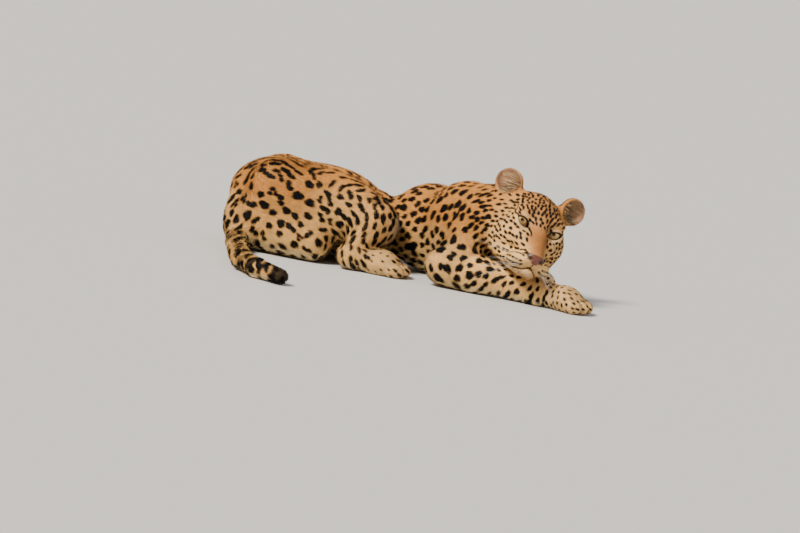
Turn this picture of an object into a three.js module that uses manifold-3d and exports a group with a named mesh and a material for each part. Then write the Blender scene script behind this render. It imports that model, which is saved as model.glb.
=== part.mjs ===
// A leopard at rest, lying on its chest with its head turned and its chin on one forearm.
// A still, life-size model. Millimetres, +Z up, the floor at z = 0, rump towards -X, head towards +X,
// and the side that the face looks to towards -Y. The body is one smooth distance field, built from
// rounded masses at named joints. The field is turned into closed surfaces, and thin cuts part them
// into the pieces that a person would name.
import * as THREE from 'three';
import Module from 'manifold-3d';

const wasm = await Module();
wasm.setup();

// Driving dimensions
const GAP = 0.3; // clearance that every cut leaves
const MIDDLE = [4.6, -180.5]; // plan centre of the whole outline, which becomes the origin
const EYES = [272, -306, 160]; // midway between the eyes
const EYE_SPACING = 76;
const EYE_RADIUS = 15.5;
const VIEW_RISE = 7; // degrees; the face looks slightly upwards
const HEAD_YAW = 15; // degrees; the nose points away from the tail
const HEAD_ROLL = 17; // degrees; the crown leans to the far side
const EAR = { left: { side: 1, tilt: 46, back: -0.16, out: 0.3 }, right: { side: -1, tilt: 53, back: -0.4, out: 0.42 } };
const PAW_LENGTH = 62;
const TOE_SPACING = 17;
const CELL = { body: 27, head: 14, ear: 9, foot: 10, tail: 19, cut: 40 }; // size of the facets
const COLOUR = { coat: 0xc9965c, pale: 0xddc7a4, eye: 0xb9ab84, nose: 0x8a5a4c };

// Joints, from the skeleton of a small adult female; right is the side that shows
const JOINT = {
  withers: [130, -120, 140],
  throat: [205, -215, 152],
  nape: [190, -190, 148],
  right: {
    shoulder: [160, -190, 118], elbow: [100, -236, 46], wrist: [285, -318, 26], paw: [402, -380, 14],
    hip: [-270, -45, 124], knee: [-62, -112, 98], hock: [-106, -164, 29], ball: [-52, -174, 26], toes: [26, -188, 14],
  },
  left: {
    shoulder: [225, -110, 112], elbow: [190, -38, 43], wrist: [302, -172, 26], paw: [246, -196, 24],
    hip: [-270, 45, 124], knee: [-70, 140, 92], hock: [-235, 165, 32], ball: [-98, 176, 26], toes: [8, 186, 14],
  },
};
// The tail leaves the rump, drops to the floor and lies towards -Y with its tip turned to +X
const TAIL = [
  [-326, -6, 108, 34], [-352, -34, 84, 29], [-352, -70, 44, 26], [-346, -128, 23, 25], [-338, -220, 22, 24.5],
  [-330, -320, 22, 24], [-318, -420, 21, 24], [-284, -508, 20, 23], [-232, -566, 17, 19],
];

// Small vector helpers on plain arrays
const rad = THREE.MathUtils.degToRad;
const add = (a, b, s = 1) => a.map((v, i) => v + s * b[i]);
const sub = (a, b) => a.map((v, i) => v - b[i]);
const dot = (a, b) => a[0] * b[0] + a[1] * b[1] + a[2] * b[2];
const cross = (a, b) => [a[1] * b[2] - a[2] * b[1], a[2] * b[0] - a[0] * b[2], a[0] * b[1] - a[1] * b[0]];
const unit = (a) => a.map((v) => v / Math.hypot(...a));
const mix = (a, b, t) => a.map((v, i) => v + t * (b[i] - v));

// A turned set of axes: forward at yaw degrees round +Z and pitch degrees up, then left and up
function turn(yaw, pitch = 0) {
  const [y, p] = [rad(yaw), rad(pitch)];
  const forward = [Math.cos(y) * Math.cos(p), Math.sin(y) * Math.cos(p), Math.sin(p)];
  const left = [-Math.sin(y), Math.cos(y), 0];
  return [forward, left, cross(forward, left)];
}

// Rounded masses, each a function from a point to its distance outside the surface

// An ellipsoid about a centre, along optional turned axes
function egg(centre, radii, axes) {
  return (p) => {
    let q = sub(p, centre);
    if (axes) q = axes.map((axis) => dot(q, axis));
    const near = Math.hypot(q[0] / radii[0], q[1] / radii[1], q[2] / radii[2]);
    const steep = Math.hypot(q[0] / radii[0] ** 2, q[1] / radii[1] ** 2, q[2] / radii[2] ** 2);
    return (near * (near - 1)) / Math.max(steep, 1e-9);
  };
}

// A tapered limb between two joints, with a radius at each
function limb(a, b, ra, rb) {
  const ab = sub(b, a);
  const length2 = dot(ab, ab);
  return (p) => {
    const ap = sub(p, a);
    const t = Math.min(1, Math.max(0, dot(ap, ab) / length2));
    return Math.hypot(ap[0] - t * ab[0], ap[1] - t * ab[1], ap[2] - t * ab[2]) - (ra + (rb - ra) * t);
  };
}

// Two distances joined with a fillet about k wide
function soft(a, b, k) {
  const h = Math.min(1, Math.max(0, 0.5 + (0.5 * (b - a)) / k));
  return b + (a - b) * h - k * h * (1 - h);
}

// Masses joined one after another, each given with its fillet
function join(first, ...rest) {
  return (p) => rest.reduce((d, [k, mass]) => soft(d, mass(p), k), first(p));
}

// Masses in the axes of the head: forward to the nose, to the animal's left, up to the crown
const rise = rad(VIEW_RISE);
const viewer = [0, -Math.cos(rise), Math.sin(rise)];
const above = [0, Math.sin(rise), Math.cos(rise)];
const [yaw, roll] = [rad(HEAD_YAW), rad(HEAD_ROLL)];
const level = add([Math.cos(roll), 0, 0], above, -Math.sin(roll));
const HEAD = [
  add(viewer.map((v) => v * Math.cos(yaw)), level, Math.sin(yaw)),
  add(level.map((v) => v * Math.cos(yaw)), viewer, -Math.sin(yaw)),
  add(above.map((v) => v * Math.cos(roll)), [1, 0, 0], Math.sin(roll)),
];
const toHead = (p) => HEAD.map((axis) => dot(sub(p, EYES), axis));
const fromHead = (q) => HEAD.reduce((p, axis, i) => add(p, axis, q[i]), EYES);

// The skull with its cheeks, muzzle and lids; the two halves mirror each other
const halfSkull = join(
  egg([-62, 0, 10], [66, 61, 59]),
  [24, egg([-16, 0, 8], [38, 48, 40])],
  [26, egg([-18, 44, -30], [42, 31, 40])],
  [20, egg([-52, 46, -44], [36, 32, 46])],
  [12, limb([4, 0, -2], [72, 0, -57], 24, 17)],
  [14, egg([44, 0, -66], [42, 31, 25])],
  [14, egg([22, 31, -34], [30, 20, 22], turn(-20, -30))],
  [14, egg([-2, 36, 22], [17, 20, 9])],
  [20, egg([-8, 0, -78], [60, 40, 25])],
  [14, limb([46, 10, -95], [-28, 42, -68], 14, 24)],
  [8, egg([62, 0, -96], [17, 18, 11])],
  [10, egg([57, 26, -76], [34, 17, 15.5], turn(-36, 11))],
  [4, egg([80, 0, -64], [10, 19, 12], turn(0, -12))],
);
const eyePit = egg([28, 33, -2], [17, 16, 13], turn(20));
const lids = egg([-1, EYE_SPACING / 2, 0], [17.5, 19, 17.5]);
function skull(q) {
  const half = [q[0], Math.abs(q[1]), q[2]];
  return soft(-soft(-halfSkull(half), eyePit(half), 10), lids(half), 7);
}

// An ear: a round cup on a broad root, still filled; the cuts below hollow it towards the front
function earAxes({ side, tilt, back, out }) {
  const along = unit([back, side * Math.cos(rad(tilt)), Math.sin(rad(tilt))]);
  const open = [1, side * out, 0.1];
  const front = unit(add(open, along, -dot(open, along)));
  return [cross(along, front), along, front];
}
function ear(form) {
  const axes = earAxes(form);
  const root = [-72, form.side * 58, 41];
  const cup = egg([0, 27, -1], [30, 30, 17]);
  const base = egg([0, -2, -6], [25, 22, 15]);
  return (q) => {
    const e = axes.map((axis) => dot(sub(q, root), axis));
    return soft(cup(e), base(e), 8);
  };
}
const ears = { left: ear(EAR.left), right: ear(EAR.right) };
function head(p) {
  const q = toHead(p);
  return soft(soft(skull(q), ears.left(q), 7), ears.right(q), 7);
}

// A broad pad with four toes side by side, pointing from the wrist to the tip
function paw(wrist, tip) {
  const along = unit([tip[0] - wrist[0], tip[1] - wrist[1], 0]);
  const across = [-along[1], along[0], 0];
  const axes = [along, across, [0, 0, 1]];
  const at = (forward, aside, z) => [...add(add(tip, along, forward - PAW_LENGTH), across, aside).slice(0, 2), z];
  const heel = at(0, 0, 26);
  const toes = [-1.5, -0.5, 0.5, 1.5].map((place) => {
    const forward = Math.abs(place) > 1 ? 29 : 38;
    return [4, egg(at(forward, place * TOE_SPACING, 14.5), [24, 11.5, 16], axes)];
  });
  return join(limb(wrist, heel, 28, 28), [12, egg(at(8, 0, 22), [36, 35, 25], axes)], ...toes);
}

// Trunk and neck
const pelvis = egg([-285, 0, 120], [98, 78, 80], turn(4));
const croup = egg([-215, 4, 120], [120, 74, 78], turn(6, -8));
const loin = egg([-95, 18, 78], [120, 72, 79]);
const ribs = egg([62, -28, 96], [108, 86, 98], turn(-28));
const chest = egg([132, -98, 97], [92, 84, 99], turn(-43));
const trunk = join(pelvis, [30, croup], [34, loin], [34, ribs], [36, chest]);
const neck = join(
  limb(JOINT.withers, JOINT.throat, 78, 70),
  [30, limb(JOINT.nape, fromHead([-60, 0, -14]), 70, 58)],
);

// Legs, folded under the body as it lies
const { right: R, left: L } = JOINT;
const forelegRight = join(
  egg([118, -165, 140], [80, 34, 62], turn(-40, 35)),
  [30, limb(R.shoulder, R.elbow, 60, 40)],
  [20, limb(add(R.elbow, [-16, 10, -3]), R.elbow, 30, 34)],
  [20, limb(R.elbow, R.wrist, 41, 28)],
  [20, egg(mix(R.elbow, R.wrist, 0.28), [70, 38, 40], turn(-23))],
  [14, paw(R.wrist, R.paw)],
);
const forelegLeft = join(
  egg([185, -85, 130], [70, 34, 60], turn(-40, 35)),
  [30, limb(L.shoulder, L.elbow, 55, 42)],
  [20, limb(L.elbow, L.wrist, 41, 28)],
  [12, limb(L.wrist, L.paw, 28, 27)],
);
function hindleg(s, side, haunch, rump, ham, point) {
  return join(
    limb(s.hip, s.knee, 81, 53),
    [30, egg(haunch, [109, 56, 70], turn(side * 14, -12))],
    [30, limb(rump, ham, 62, 46)],
    [16, limb(s.knee, s.hock, 46, 27)],
    [12, limb(point, s.hock, 22, 26)],
    [12, limb(s.hock, s.ball, 28, 27)],
    [12, paw(s.ball, s.toes)],
  );
}
const hindlegRight = hindleg(R, -1, [-150, -66, 124], [-322, -50, 59], [-190, -116, 43], [-110, -163, 31]);
const hindlegLeft = hindleg(L, 1, [-150, 72, 118], [-326, 44, 59], [-150, 138, 54], [-258, 160, 30]);

const tailLinks = TAIL.slice(1).map((b, i) => limb(TAIL[i].slice(0, 3), b.slice(0, 3), TAIL[i][3], b[3]));
const tail = join(tailLinks[0], ...tailLinks.slice(1).map((link) => [10, link]));

// The whole outline. A leg blends softly into the trunk and only closely with the jaw that rests on it
function leopard(p) {
  const face = head(p);
  const close = THREE.MathUtils.smoothstep(face, 8, 45);
  let d = soft(soft(trunk(p), neck(p), 34), face, 16);
  for (const leg of [forelegRight, forelegLeft]) d = soft(d, leg(p), 3 + 9 * close);
  for (const leg of [hindlegRight, hindlegLeft]) d = soft(d, leg(p), 12);
  return soft(d, tail(p), 20);
}

// Surface of a field where it crosses `value`, inside a box, as a solid. Each cell that the surface
// passes through gets one point for every separate sheet of it, and each crossed grid line one face.
const EDGES = [];
for (let corner = 0; corner < 8; corner++) {
  for (let axis = 0; axis < 3; axis++) {
    if (!(corner & (1 << axis))) EDGES.push([corner, corner | (1 << axis), axis]);
  }
}
const FACES = [];
for (let axis = 0; axis < 3; axis++) {
  for (const bit of [0, 1 << axis]) {
    FACES.push(EDGES.flatMap(([a, b], e) => ((a & (1 << axis)) === bit && (b & (1 << axis)) === bit ? [e] : [])));
  }
}

function surface(field, low, high, cell, value = 0) {
  const n = low.map((v, i) => Math.ceil((high[i] - v) / cell) + 1);
  const step = [1, n[0], n[0] * n[1]];
  const place = (i, j, k) => [low[0] + i * cell, low[1] + j * cell, low[2] + k * cell];
  const values = new Float64Array(n[0] * n[1] * n[2]);
  for (let k = 0, at = 0; k < n[2]; k++) {
    for (let j = 0; j < n[1]; j++) {
      for (let i = 0; i < n[0]; i++, at++) {
        const rim = i === 0 || j === 0 || k === 0 || i === n[0] - 1 || j === n[1] - 1 || k === n[2] - 1;
        values[at] = rim ? cell / 2 : field(place(i, j, k)) - value;
      }
    }
  }
  const offset = (corner) => (corner & 1) + (corner & 2 ? step[1] : 0) + (corner & 4 ? step[2] : 0);
  const points = [];
  const pointOf = new Map();
  for (let k = 0; k < n[2] - 1; k++) {
    for (let j = 0; j < n[1] - 1; j++) {
      for (let i = 0; i < n[0] - 1; i++) {
        const at = i + j * step[1] + k * step[2];
        const v = [0, 1, 2, 3, 4, 5, 6, 7].map((corner) => values[at + offset(corner)]);
        const crossed = EDGES.map(([a, b]) => (v[a] < 0) !== (v[b] < 0));
        if (!crossed.includes(true)) continue;
        // Crossings belong to one sheet where a face of the cell links them round its inner corners
        const sheet = EDGES.map((_, e) => e);
        const find = (e) => (sheet[e] === e ? e : find(sheet[e]));
        for (const face of FACES) {
          const hit = face.filter((e) => crossed[e]);
          for (const e of hit) {
            for (const f of hit) {
              const shared = EDGES[e].slice(0, 2).find((corner) => EDGES[f].slice(0, 2).includes(corner));
              if (e < f && (hit.length === 2 || (shared !== undefined && v[shared] < 0))) sheet[find(f)] = find(e);
            }
          }
        }
        const sums = new Map();
        EDGES.forEach(([a, b, axis], e) => {
          if (!crossed[e]) return;
          const p = place(i + (a & 1), j + ((a & 2) >> 1), k + ((a & 4) >> 2));
          p[axis] += (cell * v[a]) / (v[a] - v[b]);
          const sum = sums.get(find(e)) ?? [0, 0, 0, 0];
          sums.set(find(e), [sum[0] + p[0], sum[1] + p[1], sum[2] + p[2], sum[3] + 1]);
        });
        const index = new Map();
        for (const [key, [x, y, z, count]] of sums) {
          index.set(key, points.length / 3);
          points.push(x / count, y / count, z / count);
        }
        EDGES.forEach((_, e) => crossed[e] && pointOf.set(at * 12 + e, index.get(find(e))));
      }
    }
  }
  const triangles = [];
  const edgeAt = (corner, axis) => EDGES.findIndex(([a, , along]) => a === corner && along === axis);
  for (let axis = 0; axis < 3; axis++) {
    const [u, w] = [(axis + 1) % 3, (axis + 2) % 3];
    const ring = [[1, 1], [0, 1], [0, 0], [1, 0]];
    const edges = ring.map(([a, b]) => edgeAt((a << u) | (b << w), axis));
    for (let at = 0; at < values.length - step[axis]; at++) {
      if (!pointOf.has(at * 12 + edgeAt(0, axis))) continue;
      if ((values[at] < 0) === (values[at + step[axis]] < 0)) continue;
      const q = ring.map(([a, b], r) => pointOf.get((at - a * step[u] - b * step[w]) * 12 + edges[r]));
      if (values[at] >= 0) q.reverse();
      const far = (a, b) => Math.hypot(...[0, 1, 2].map((c) => points[3 * a + c] - points[3 * b + c]));
      if (far(q[0], q[2]) < far(q[1], q[3])) triangles.push(q[0], q[1], q[2], q[0], q[2], q[3]);
      else triangles.push(q[1], q[2], q[3], q[1], q[3], q[0]);
    }
  }
  // Each point moves along the slope of the field onto the surface itself
  for (let i = 0; i < points.length; i += 3) {
    const p = points.slice(i, i + 3);
    const d = field(p) - value;
    const slope = [0, 1, 2].map((k) => (field(add(p, [+(k === 0), +(k === 1), +(k === 2)])) - value - d));
    const along = Math.min(1, cell / 4 / Math.abs(d * Math.hypot(...slope) / Math.max(0.2, dot(slope, slope))));
    for (let k = 0; k < 3; k++) points[i + k] -= (along * d * slope[k]) / Math.max(0.2, dot(slope, slope));
  }
  return solidOf(new Float32Array(points), new Uint32Array(triangles));
}

function solidOf(vertProperties, triVerts) {
  return new wasm.Manifold(new wasm.Mesh({ numProp: 3, vertProperties, triVerts }));
}

// A three.js geometry set on turned axes at a place, as a solid
function solidFrom(geometry, centre, axes = [[1, 0, 0], [0, 1, 0], [0, 0, 1]]) {
  const basis = new THREE.Matrix4().makeBasis(...axes.map((axis) => new THREE.Vector3(...axis)));
  const at = geometry.clone().applyMatrix4(basis.setPosition(...centre)).getAttribute('position');
  const index = geometry.getIndex().array;
  const seen = new Map();
  const points = [];
  const merged = [];
  for (let i = 0; i < at.count; i++) {
    const p = [at.getX(i), at.getY(i), at.getZ(i)];
    const key = p.map((v) => Math.round(v * 1e4)).join();
    if (!seen.has(key)) {
      seen.set(key, points.length / 3);
      points.push(...p);
    }
    merged.push(seen.get(key));
  }
  const triangles = [];
  for (let i = 0; i < index.length; i += 3) {
    const t = [merged[index[i]], merged[index[i + 1]], merged[index[i + 2]]];
    if (new Set(t).size === 3) triangles.push(...t);
  }
  return solidOf(new Float32Array(points), new Uint32Array(triangles));
}
const ball = (centre, radius, sides = 24) =>
  solidFrom(new THREE.SphereGeometry(radius, sides, sides * 0.6), centre, [[1, 0, 0], [0, 0, 1], [0, -1, 0]]);

// The same solid with each face moved out by about `gap`
function grown(solid, gap = GAP) {
  const { vertProperties: v, triVerts: t } = solid.getMesh();
  const normals = [];
  const around = Array.from({ length: v.length / 3 }, () => []);
  for (let i = 0; i < t.length; i += 3) {
    const [a, b, c] = [0, 1, 2].map((k) => [...v.slice(3 * t[i + k], 3 * t[i + k] + 3)]);
    const n = cross(sub(b, a), sub(c, a));
    if (Math.hypot(...n) < 1e-6) continue;
    for (let k = 0; k < 3; k++) around[t[i + k]].push(normals.length);
    normals.push(unit(n));
  }
  const moved = Float32Array.from(v);
  around.forEach((faces, i) => {
    if (!faces.length) return;
    const n = unit(faces.reduce((s, f) => add(s, normals[f]), [0, 0, 0]));
    const least = Math.max(0.35, Math.min(...faces.map((f) => dot(n, normals[f]))));
    for (let k = 0; k < 3; k++) moved[3 * i + k] += (n[k] * gap) / least;
  });
  return solidOf(moved, t);
}

// A block on turned axes, and one that holds everything on the far side of a plane
const block = (centre, size, axes) => solidFrom(new THREE.BoxGeometry(...size), centre, axes);
function beyond(point, normal, reach = 700) {
  const n = unit(normal);
  const aside = unit(cross([0.1, 0.2, 1], n));
  return block(add(point, n, reach), [2 * reach, 2 * reach, 2 * reach], [n, aside, cross(n, aside)]);
}
const inHead = (centre, size) => block(fromHead(centre), size, HEAD);
function oval(centre, radii, sides = 14, axes = HEAD) {
  const shape = new THREE.SphereGeometry(1, sides, sides / 2).rotateX(Math.PI / 2).scale(...radii);
  return solidFrom(shape, centre, axes);
}
// The plane that mitres a limb at joint b, facing the part from b to c
const mitre = (a, b, c) => beyond(b, add(unit(sub(c, b)), unit(sub(b, a))));

// Uncut flesh at three fineness levels; each piece is taken from one and cut out of all
const stock = {
  body: surface(leopard, [-430, -640, -30], [450, 260, 290], CELL.body),
  head: surface(leopard, [110, -440, 30], [400, -170, 290], CELL.head),
  ear: surface(leopard, [170, -330, 140], [400, -180, 290], CELL.ear),
  foot: surface(leopard, [250, -450, -30], [460, -270, 110], CELL.foot),
  hind: surface(leopard, [-180, -230, -30], [70, 240, 90], CELL.foot),
  tail: surface(leopard, [-420, -640, -30], [-190, 60, 180], CELL.tail),
};
for (const key of Object.keys(stock)) stock[key] = stock[key].subtract(beyond([0, 0, 0], [0, 0, -1]));

const pieces = new THREE.Group();
const materials = {
  coat: new THREE.MeshStandardMaterial({ color: COLOUR.coat, roughness: 0.85 }),
  pale: new THREE.MeshStandardMaterial({ color: COLOUR.pale, roughness: 0.85 }),
  eye: new THREE.MeshStandardMaterial({ color: COLOUR.eye, roughness: 0.15 }),
  nose: new THREE.MeshStandardMaterial({ color: COLOUR.nose, roughness: 0.5 }),
};

// The triangles of the largest connected body of a mesh, without any crumb that the cuts made
function largest({ vertProperties, triVerts }) {
  const owner = Int32Array.from({ length: vertProperties.length / 3 }, (_, i) => i);
  const find = (i) => {
    while (owner[i] !== i) i = owner[i] = owner[owner[i]];
    return i;
  };
  for (let i = 0; i < triVerts.length; i += 3) {
    owner[find(triVerts[i + 1])] = find(triVerts[i]);
    owner[find(triVerts[i + 2])] = find(triVerts[i]);
  }
  const count = new Map();
  for (const corner of triVerts) count.set(find(corner), (count.get(find(corner)) ?? 0) + 1);
  const main = [...count].sort((a, b) => b[1] - a[1])[0][0];
  return Array.from(triVerts.filter((corner) => find(corner) === main));
}

// The same shape with fewer triangles: a point is drawn onto a neighbour that lies within `flat` of
// every face round the point, as the slivers along a cut do
function thinned(vertices, corners, flat = 0.2) {
  const at = (i) => [vertices[3 * i], vertices[3 * i + 1], vertices[3 * i + 2]];
  const faces = [];
  const round = new Map();
  for (let i = 0; i < corners.length; i += 3) {
    const face = corners.slice(i, i + 3);
    for (const v of face) round.set(v, (round.get(v) ?? new Set()).add(faces.length));
    faces.push(face);
  }
  const normal = (a, b, c) => cross(sub(at(b), at(a)), sub(at(c), at(a)));
  const ring = (v) => new Set([...round.get(v)].flatMap((f) => faces[f]).filter((w) => w !== v));
  const drawn = (v, u, shared) => {
    if (shared.length !== 2) return false;
    for (const f of round.get(v)) {
      const old = normal(...faces[f]);
      const size = Math.hypot(...old);
      if (size > 1e-3 && Math.abs(dot(old, sub(at(u), at(v)))) / size > flat) return false;
      if (faces[f].includes(u)) continue;
      const now = normal(...faces[f].map((w) => (w === v ? u : w)));
      if (Math.hypot(...now) < 0.02 || (size > 1e-3 && dot(now, old) < 0.6 * size * Math.hypot(...now))) return false;
    }
    return true;
  };
  for (let changed = true; changed; ) {
    changed = false;
    for (const v of [...round.keys()]) {
      const near = ring(v);
      const u = [...near].find((w) => drawn(v, w, [...ring(w)].filter((x) => near.has(x))));
      if (u === undefined) continue;
      for (const f of round.get(v)) {
        if (faces[f].includes(u)) {
          for (const w of faces[f]) if (w !== v) round.get(w).delete(f);
          faces[f] = null;
        } else {
          faces[f] = faces[f].map((w) => (w === v ? u : w));
          round.get(u).add(f);
        }
      }
      round.delete(v);
      changed = true;
    }
  }
  return faces.filter(Boolean).flat();
}

// Put a solid into the group as a named mesh
function place(name, solid, material = 'coat') {
  const mesh = solid.getMesh();
  const points = new Float32Array(mesh.vertProperties);
  const geometry = new THREE.BufferGeometry();
  geometry.setAttribute('position', new THREE.BufferAttribute(points, 3));
  geometry.setIndex(thinned(points, largest(mesh)));
  const piece = new THREE.Mesh(geometry, materials[material]);
  piece.name = name;
  piece.position.set(-MIDDLE[0], -MIDDLE[1], 0);
  pieces.add(piece);
}

// Cut a region out of all the flesh; parts of it, divided by planes, were placed from the stock before
function remove(region) {
  const around = grown(region);
  for (const key of Object.keys(stock)) stock[key] = stock[key].subtract(around);
}

// Place the flesh inside a region as parts in a row; plane i divides part i from part i + 1
function divide(names, sources, region, planes = [], material = 'coat') {
  names.forEach((name, i) => {
    let solid = stock[sources[i]].intersect(region);
    for (const plane of planes.slice(0, i)) solid = solid.intersect(plane);
    if (i < planes.length) solid = solid.subtract(grown(planes[i]));
    place(name, solid, material);
  });
  remove(region);
}

// The eyes, in round sockets that open between the lids
for (const [name, side] of [['left', 1], ['right', -1]]) {
  const centre = fromHead([-2, (side * EYE_SPACING) / 2, 0]);
  const opening = oval(fromHead([17, side * (EYE_SPACING / 2 - 1), -1]), [9, 12, 7.5]);
  place(`eye_${name}`, ball(centre, EYE_RADIUS, 14), 'eye');
  stock.head = stock.head.subtract(ball(centre, EYE_RADIUS + GAP + 0.1, 14)).subtract(opening);
}

// Legs: the flesh about each limb. The root of a limb stays on its own side of the trunk, and a
// foreleg ends where the head is nearer
const [, chestLeft] = turn(-43);
const chestSide = (side) => (p) => 30 - side * dot(sub(p, [132, -98, 97]), chestLeft);
const rumpSide = (side) => (p) => 28 - side * p[1];
const both = (...fields) => (p) => Math.max(...fields.map((field) => field(p)));

function foreleg(name, side, s, leg, root, cutAhead, box) {
  const limbs = [[20, limb(s.elbow, s.wrist, 60, 46)], [20, limb(s.wrist, s.paw, 46, side < 0 ? 58 : 46)]];
  const swollen = join(both(limb(root, s.elbow, 64, 60), chestSide(side)), ...limbs);
  const region = surface(both(swollen, (p) => leg(p) - head(p)), ...box, CELL.cut);
  const planes = [mitre(s.shoulder, s.elbow, s.wrist), beyond(add(s.wrist, cutAhead), sub(s.paw, s.wrist))];
  const names = ['upper', 'lower', 'paw'].map((part) => `${name}_${part}`);
  divide(names, ['body', 'body', side < 0 ? 'foot' : 'body'], region, planes);
}
foreleg('foreleg_right', -1, R, forelegRight, [158, -206, 124], [10, -5, 0], [[20, -450, -30], [470, -130, 220]]);
foreleg('foreleg_left', 1, L, forelegLeft, [228, -106, 118], [-14, -6, 0], [[120, -270, -30], [390, 50, 220]]);

for (const [name, side, s] of [['hindleg_right', -1, R], ['hindleg_left', 1, L]]) {
  const thigh = both(limb(add(s.hip, [-20, side * 22, -4]), s.knee, 92, 66), rumpSide(side));
  const foot = [[20, limb(s.hock, s.ball, 52, 50)], [20, limb(s.ball, s.toes, 50, 58)]];
  const swollen = join(thigh, [20, limb(s.knee, s.hock, 66, 50)], ...foot);
  const region = surface(swollen, [-430, side * 135 - 130, -30], [90, side * 135 + 130, 250], CELL.cut);
  const toe = block(add(s.ball, [108, 0, -26]), [200, 200, 112]);
  const planes = [mitre(s.hip, s.knee, s.hock), toe];
  divide(['thigh', 'shank', 'paw'].map((part) => `${name}_${part}`), ['body', 'body', 'hind'], region, planes);
}

// Ears, nose and lower jaw, then the rest of the head
for (const [name, form] of Object.entries(EAR)) {
  const axes = earAxes(form).map((axis) => HEAD.reduce((v, h, i) => add(v, h, axis[i]), [0, 0, 0]));
  const root = fromHead([-72, form.side * 58, 41]);
  const hollow = oval(add(add(root, axes[1], 31), axes[2], 10), [26, 28, 19], 14, axes);
  stock.ear = stock.ear.subtract(hollow);
  divide([`ear_${name}`], ['ear'], block(add(root, axes[1], 38), [84, 68, 60], axes));
}
divide(['nose'], ['head'], oval(fromHead([84, 0, -62]), [13, 20, 12], 10), [], 'nose');
divide(['jaw'], ['head'], inHead([62, 0, -107], [78, 92, 40]), [], 'pale');
const swollenHead = both((p) => head(p) - 12, (p) => -118 - toHead(p)[0]);
divide(['head'], ['head'], surface(swollenHead, [110, -460, 20], [420, -170, 300], CELL.cut));

// Tail, in three lengths
const tailPoint = (i) => TAIL[i].slice(0, 3);
const tailCut = (i) => beyond(tailPoint(i), sub(tailPoint(i + 1), tailPoint(i - 1)));
const tailRoot = beyond(mix(tailPoint(0), tailPoint(1), 0.6), [-0.6, -0.8, -0.6]);
const swollenTail = surface((p) => tail(p) - 13, [-440, -650, -50], [-170, 60, 190], CELL.cut * 0.75);
divide(['tail_base', 'tail_middle', 'tail_tip'], ['tail', 'tail', 'tail'], swollenTail.intersect(tailRoot), [
  tailCut(4).intersect(block([-300, -460, 20], [400, 560, 200])),
  tailCut(6).intersect(block([-300, -560, 20], [400, 400, 200])),
]);

// Neck and trunk, from the front backwards
divide(['neck'], ['body'], beyond(mix(JOINT.withers, JOINT.throat, 0.5), sub(JOINT.throat, JOINT.withers)));
divide(['chest'], ['body'], beyond([-25, 10, 0], [0.97, -0.24, 0]));
divide(['abdomen'], ['body'], beyond([-190, 0, 0], [1, 0, 0]), [], 'pale');
place('pelvis', stock.body);

export default pieces;
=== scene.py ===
# A leopard at rest, lying on its chest with its head turned and its chin on one forearm.
# Shapes are worked out in millimetres, +Z up, rump towards -X, head towards +X, and the side that the
# face looks to towards -Y. The body is one smooth distance field made of rounded masses; the skin is
# the surface that lies inside it by the depth of the coat, and the coat is laid on that skin.
import math

import bpy
import numpy as np
from mathutils import Matrix, Vector


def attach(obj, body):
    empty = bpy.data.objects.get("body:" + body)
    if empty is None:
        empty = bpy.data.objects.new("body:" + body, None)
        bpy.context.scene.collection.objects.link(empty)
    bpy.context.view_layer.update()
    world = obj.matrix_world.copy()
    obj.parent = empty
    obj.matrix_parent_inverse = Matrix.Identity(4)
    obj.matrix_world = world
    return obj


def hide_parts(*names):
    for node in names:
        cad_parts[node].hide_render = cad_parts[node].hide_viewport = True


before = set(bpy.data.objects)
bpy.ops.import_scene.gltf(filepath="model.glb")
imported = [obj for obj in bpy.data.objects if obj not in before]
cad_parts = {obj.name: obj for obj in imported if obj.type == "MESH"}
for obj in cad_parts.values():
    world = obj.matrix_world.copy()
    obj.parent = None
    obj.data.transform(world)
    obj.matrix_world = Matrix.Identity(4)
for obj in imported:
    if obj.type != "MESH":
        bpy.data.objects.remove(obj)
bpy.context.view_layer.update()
chance = np.random.default_rng(11)

# Driving dimensions
MIDDLE = np.array([4.6, -180.5, 0])  # plan centre of the whole outline, which is the origin
EYES = np.array([272.0, -306, 160])  # midway between the eyes
EYE_SPACING = 76
EYE_RADIUS = 15.5
VIEW_RISE = 7
HEAD_YAW = 15
HEAD_ROLL = 17
PAW_LENGTH = 62
TOE_SPACING = 17
CELL, FACE_CELL = 6.8, 2.15  # skin facets on the body and on the face
COAT_TUFTS = 368000
MOST_TUFTS = 49500  # in one piece of coat, four faces each
SPOT_TRIES = 20000
CHIN_SPECKS = 60
WHISKER_COUNT = 20
BAND_SPACING = 44  # along the tail
EAR = {
    "left": dict(side=1, tilt=46, back=-0.16, out=0.3),
    "right": dict(side=-1, tilt=53, back=-0.4, out=0.42),
}
JOINT = {"withers": (130, -120, 140), "throat": (205, -215, 152), "nape": (190, -190, 148)}
RIGHT = {
    "shoulder": (160, -190, 118), "elbow": (100, -236, 46), "wrist": (285, -318, 26),
    "paw": (402, -380, 14), "hip": (-270, -45, 124), "knee": (-62, -112, 98),
    "hock": (-106, -164, 29), "ball": (-52, -174, 26), "toes": (26, -188, 14),
}
LEFT = {
    "shoulder": (225, -110, 112), "elbow": (190, -38, 43), "wrist": (302, -172, 26),
    "paw": (246, -196, 24), "hip": (-270, 45, 124), "knee": (-70, 140, 92),
    "hock": (-235, 165, 32), "ball": (-98, 176, 26), "toes": (8, 186, 14),
}
TAIL = [  # place and radius at each bend, from the root to the tip
    (-326, -6, 108, 34), (-352, -34, 84, 29), (-352, -70, 44, 26),
    (-346, -128, 23, 25), (-338, -220, 22, 24.5), (-330, -320, 22, 24),
    (-318, -420, 21, 24), (-284, -508, 20, 23), (-232, -566, 17, 19),
]


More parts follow.
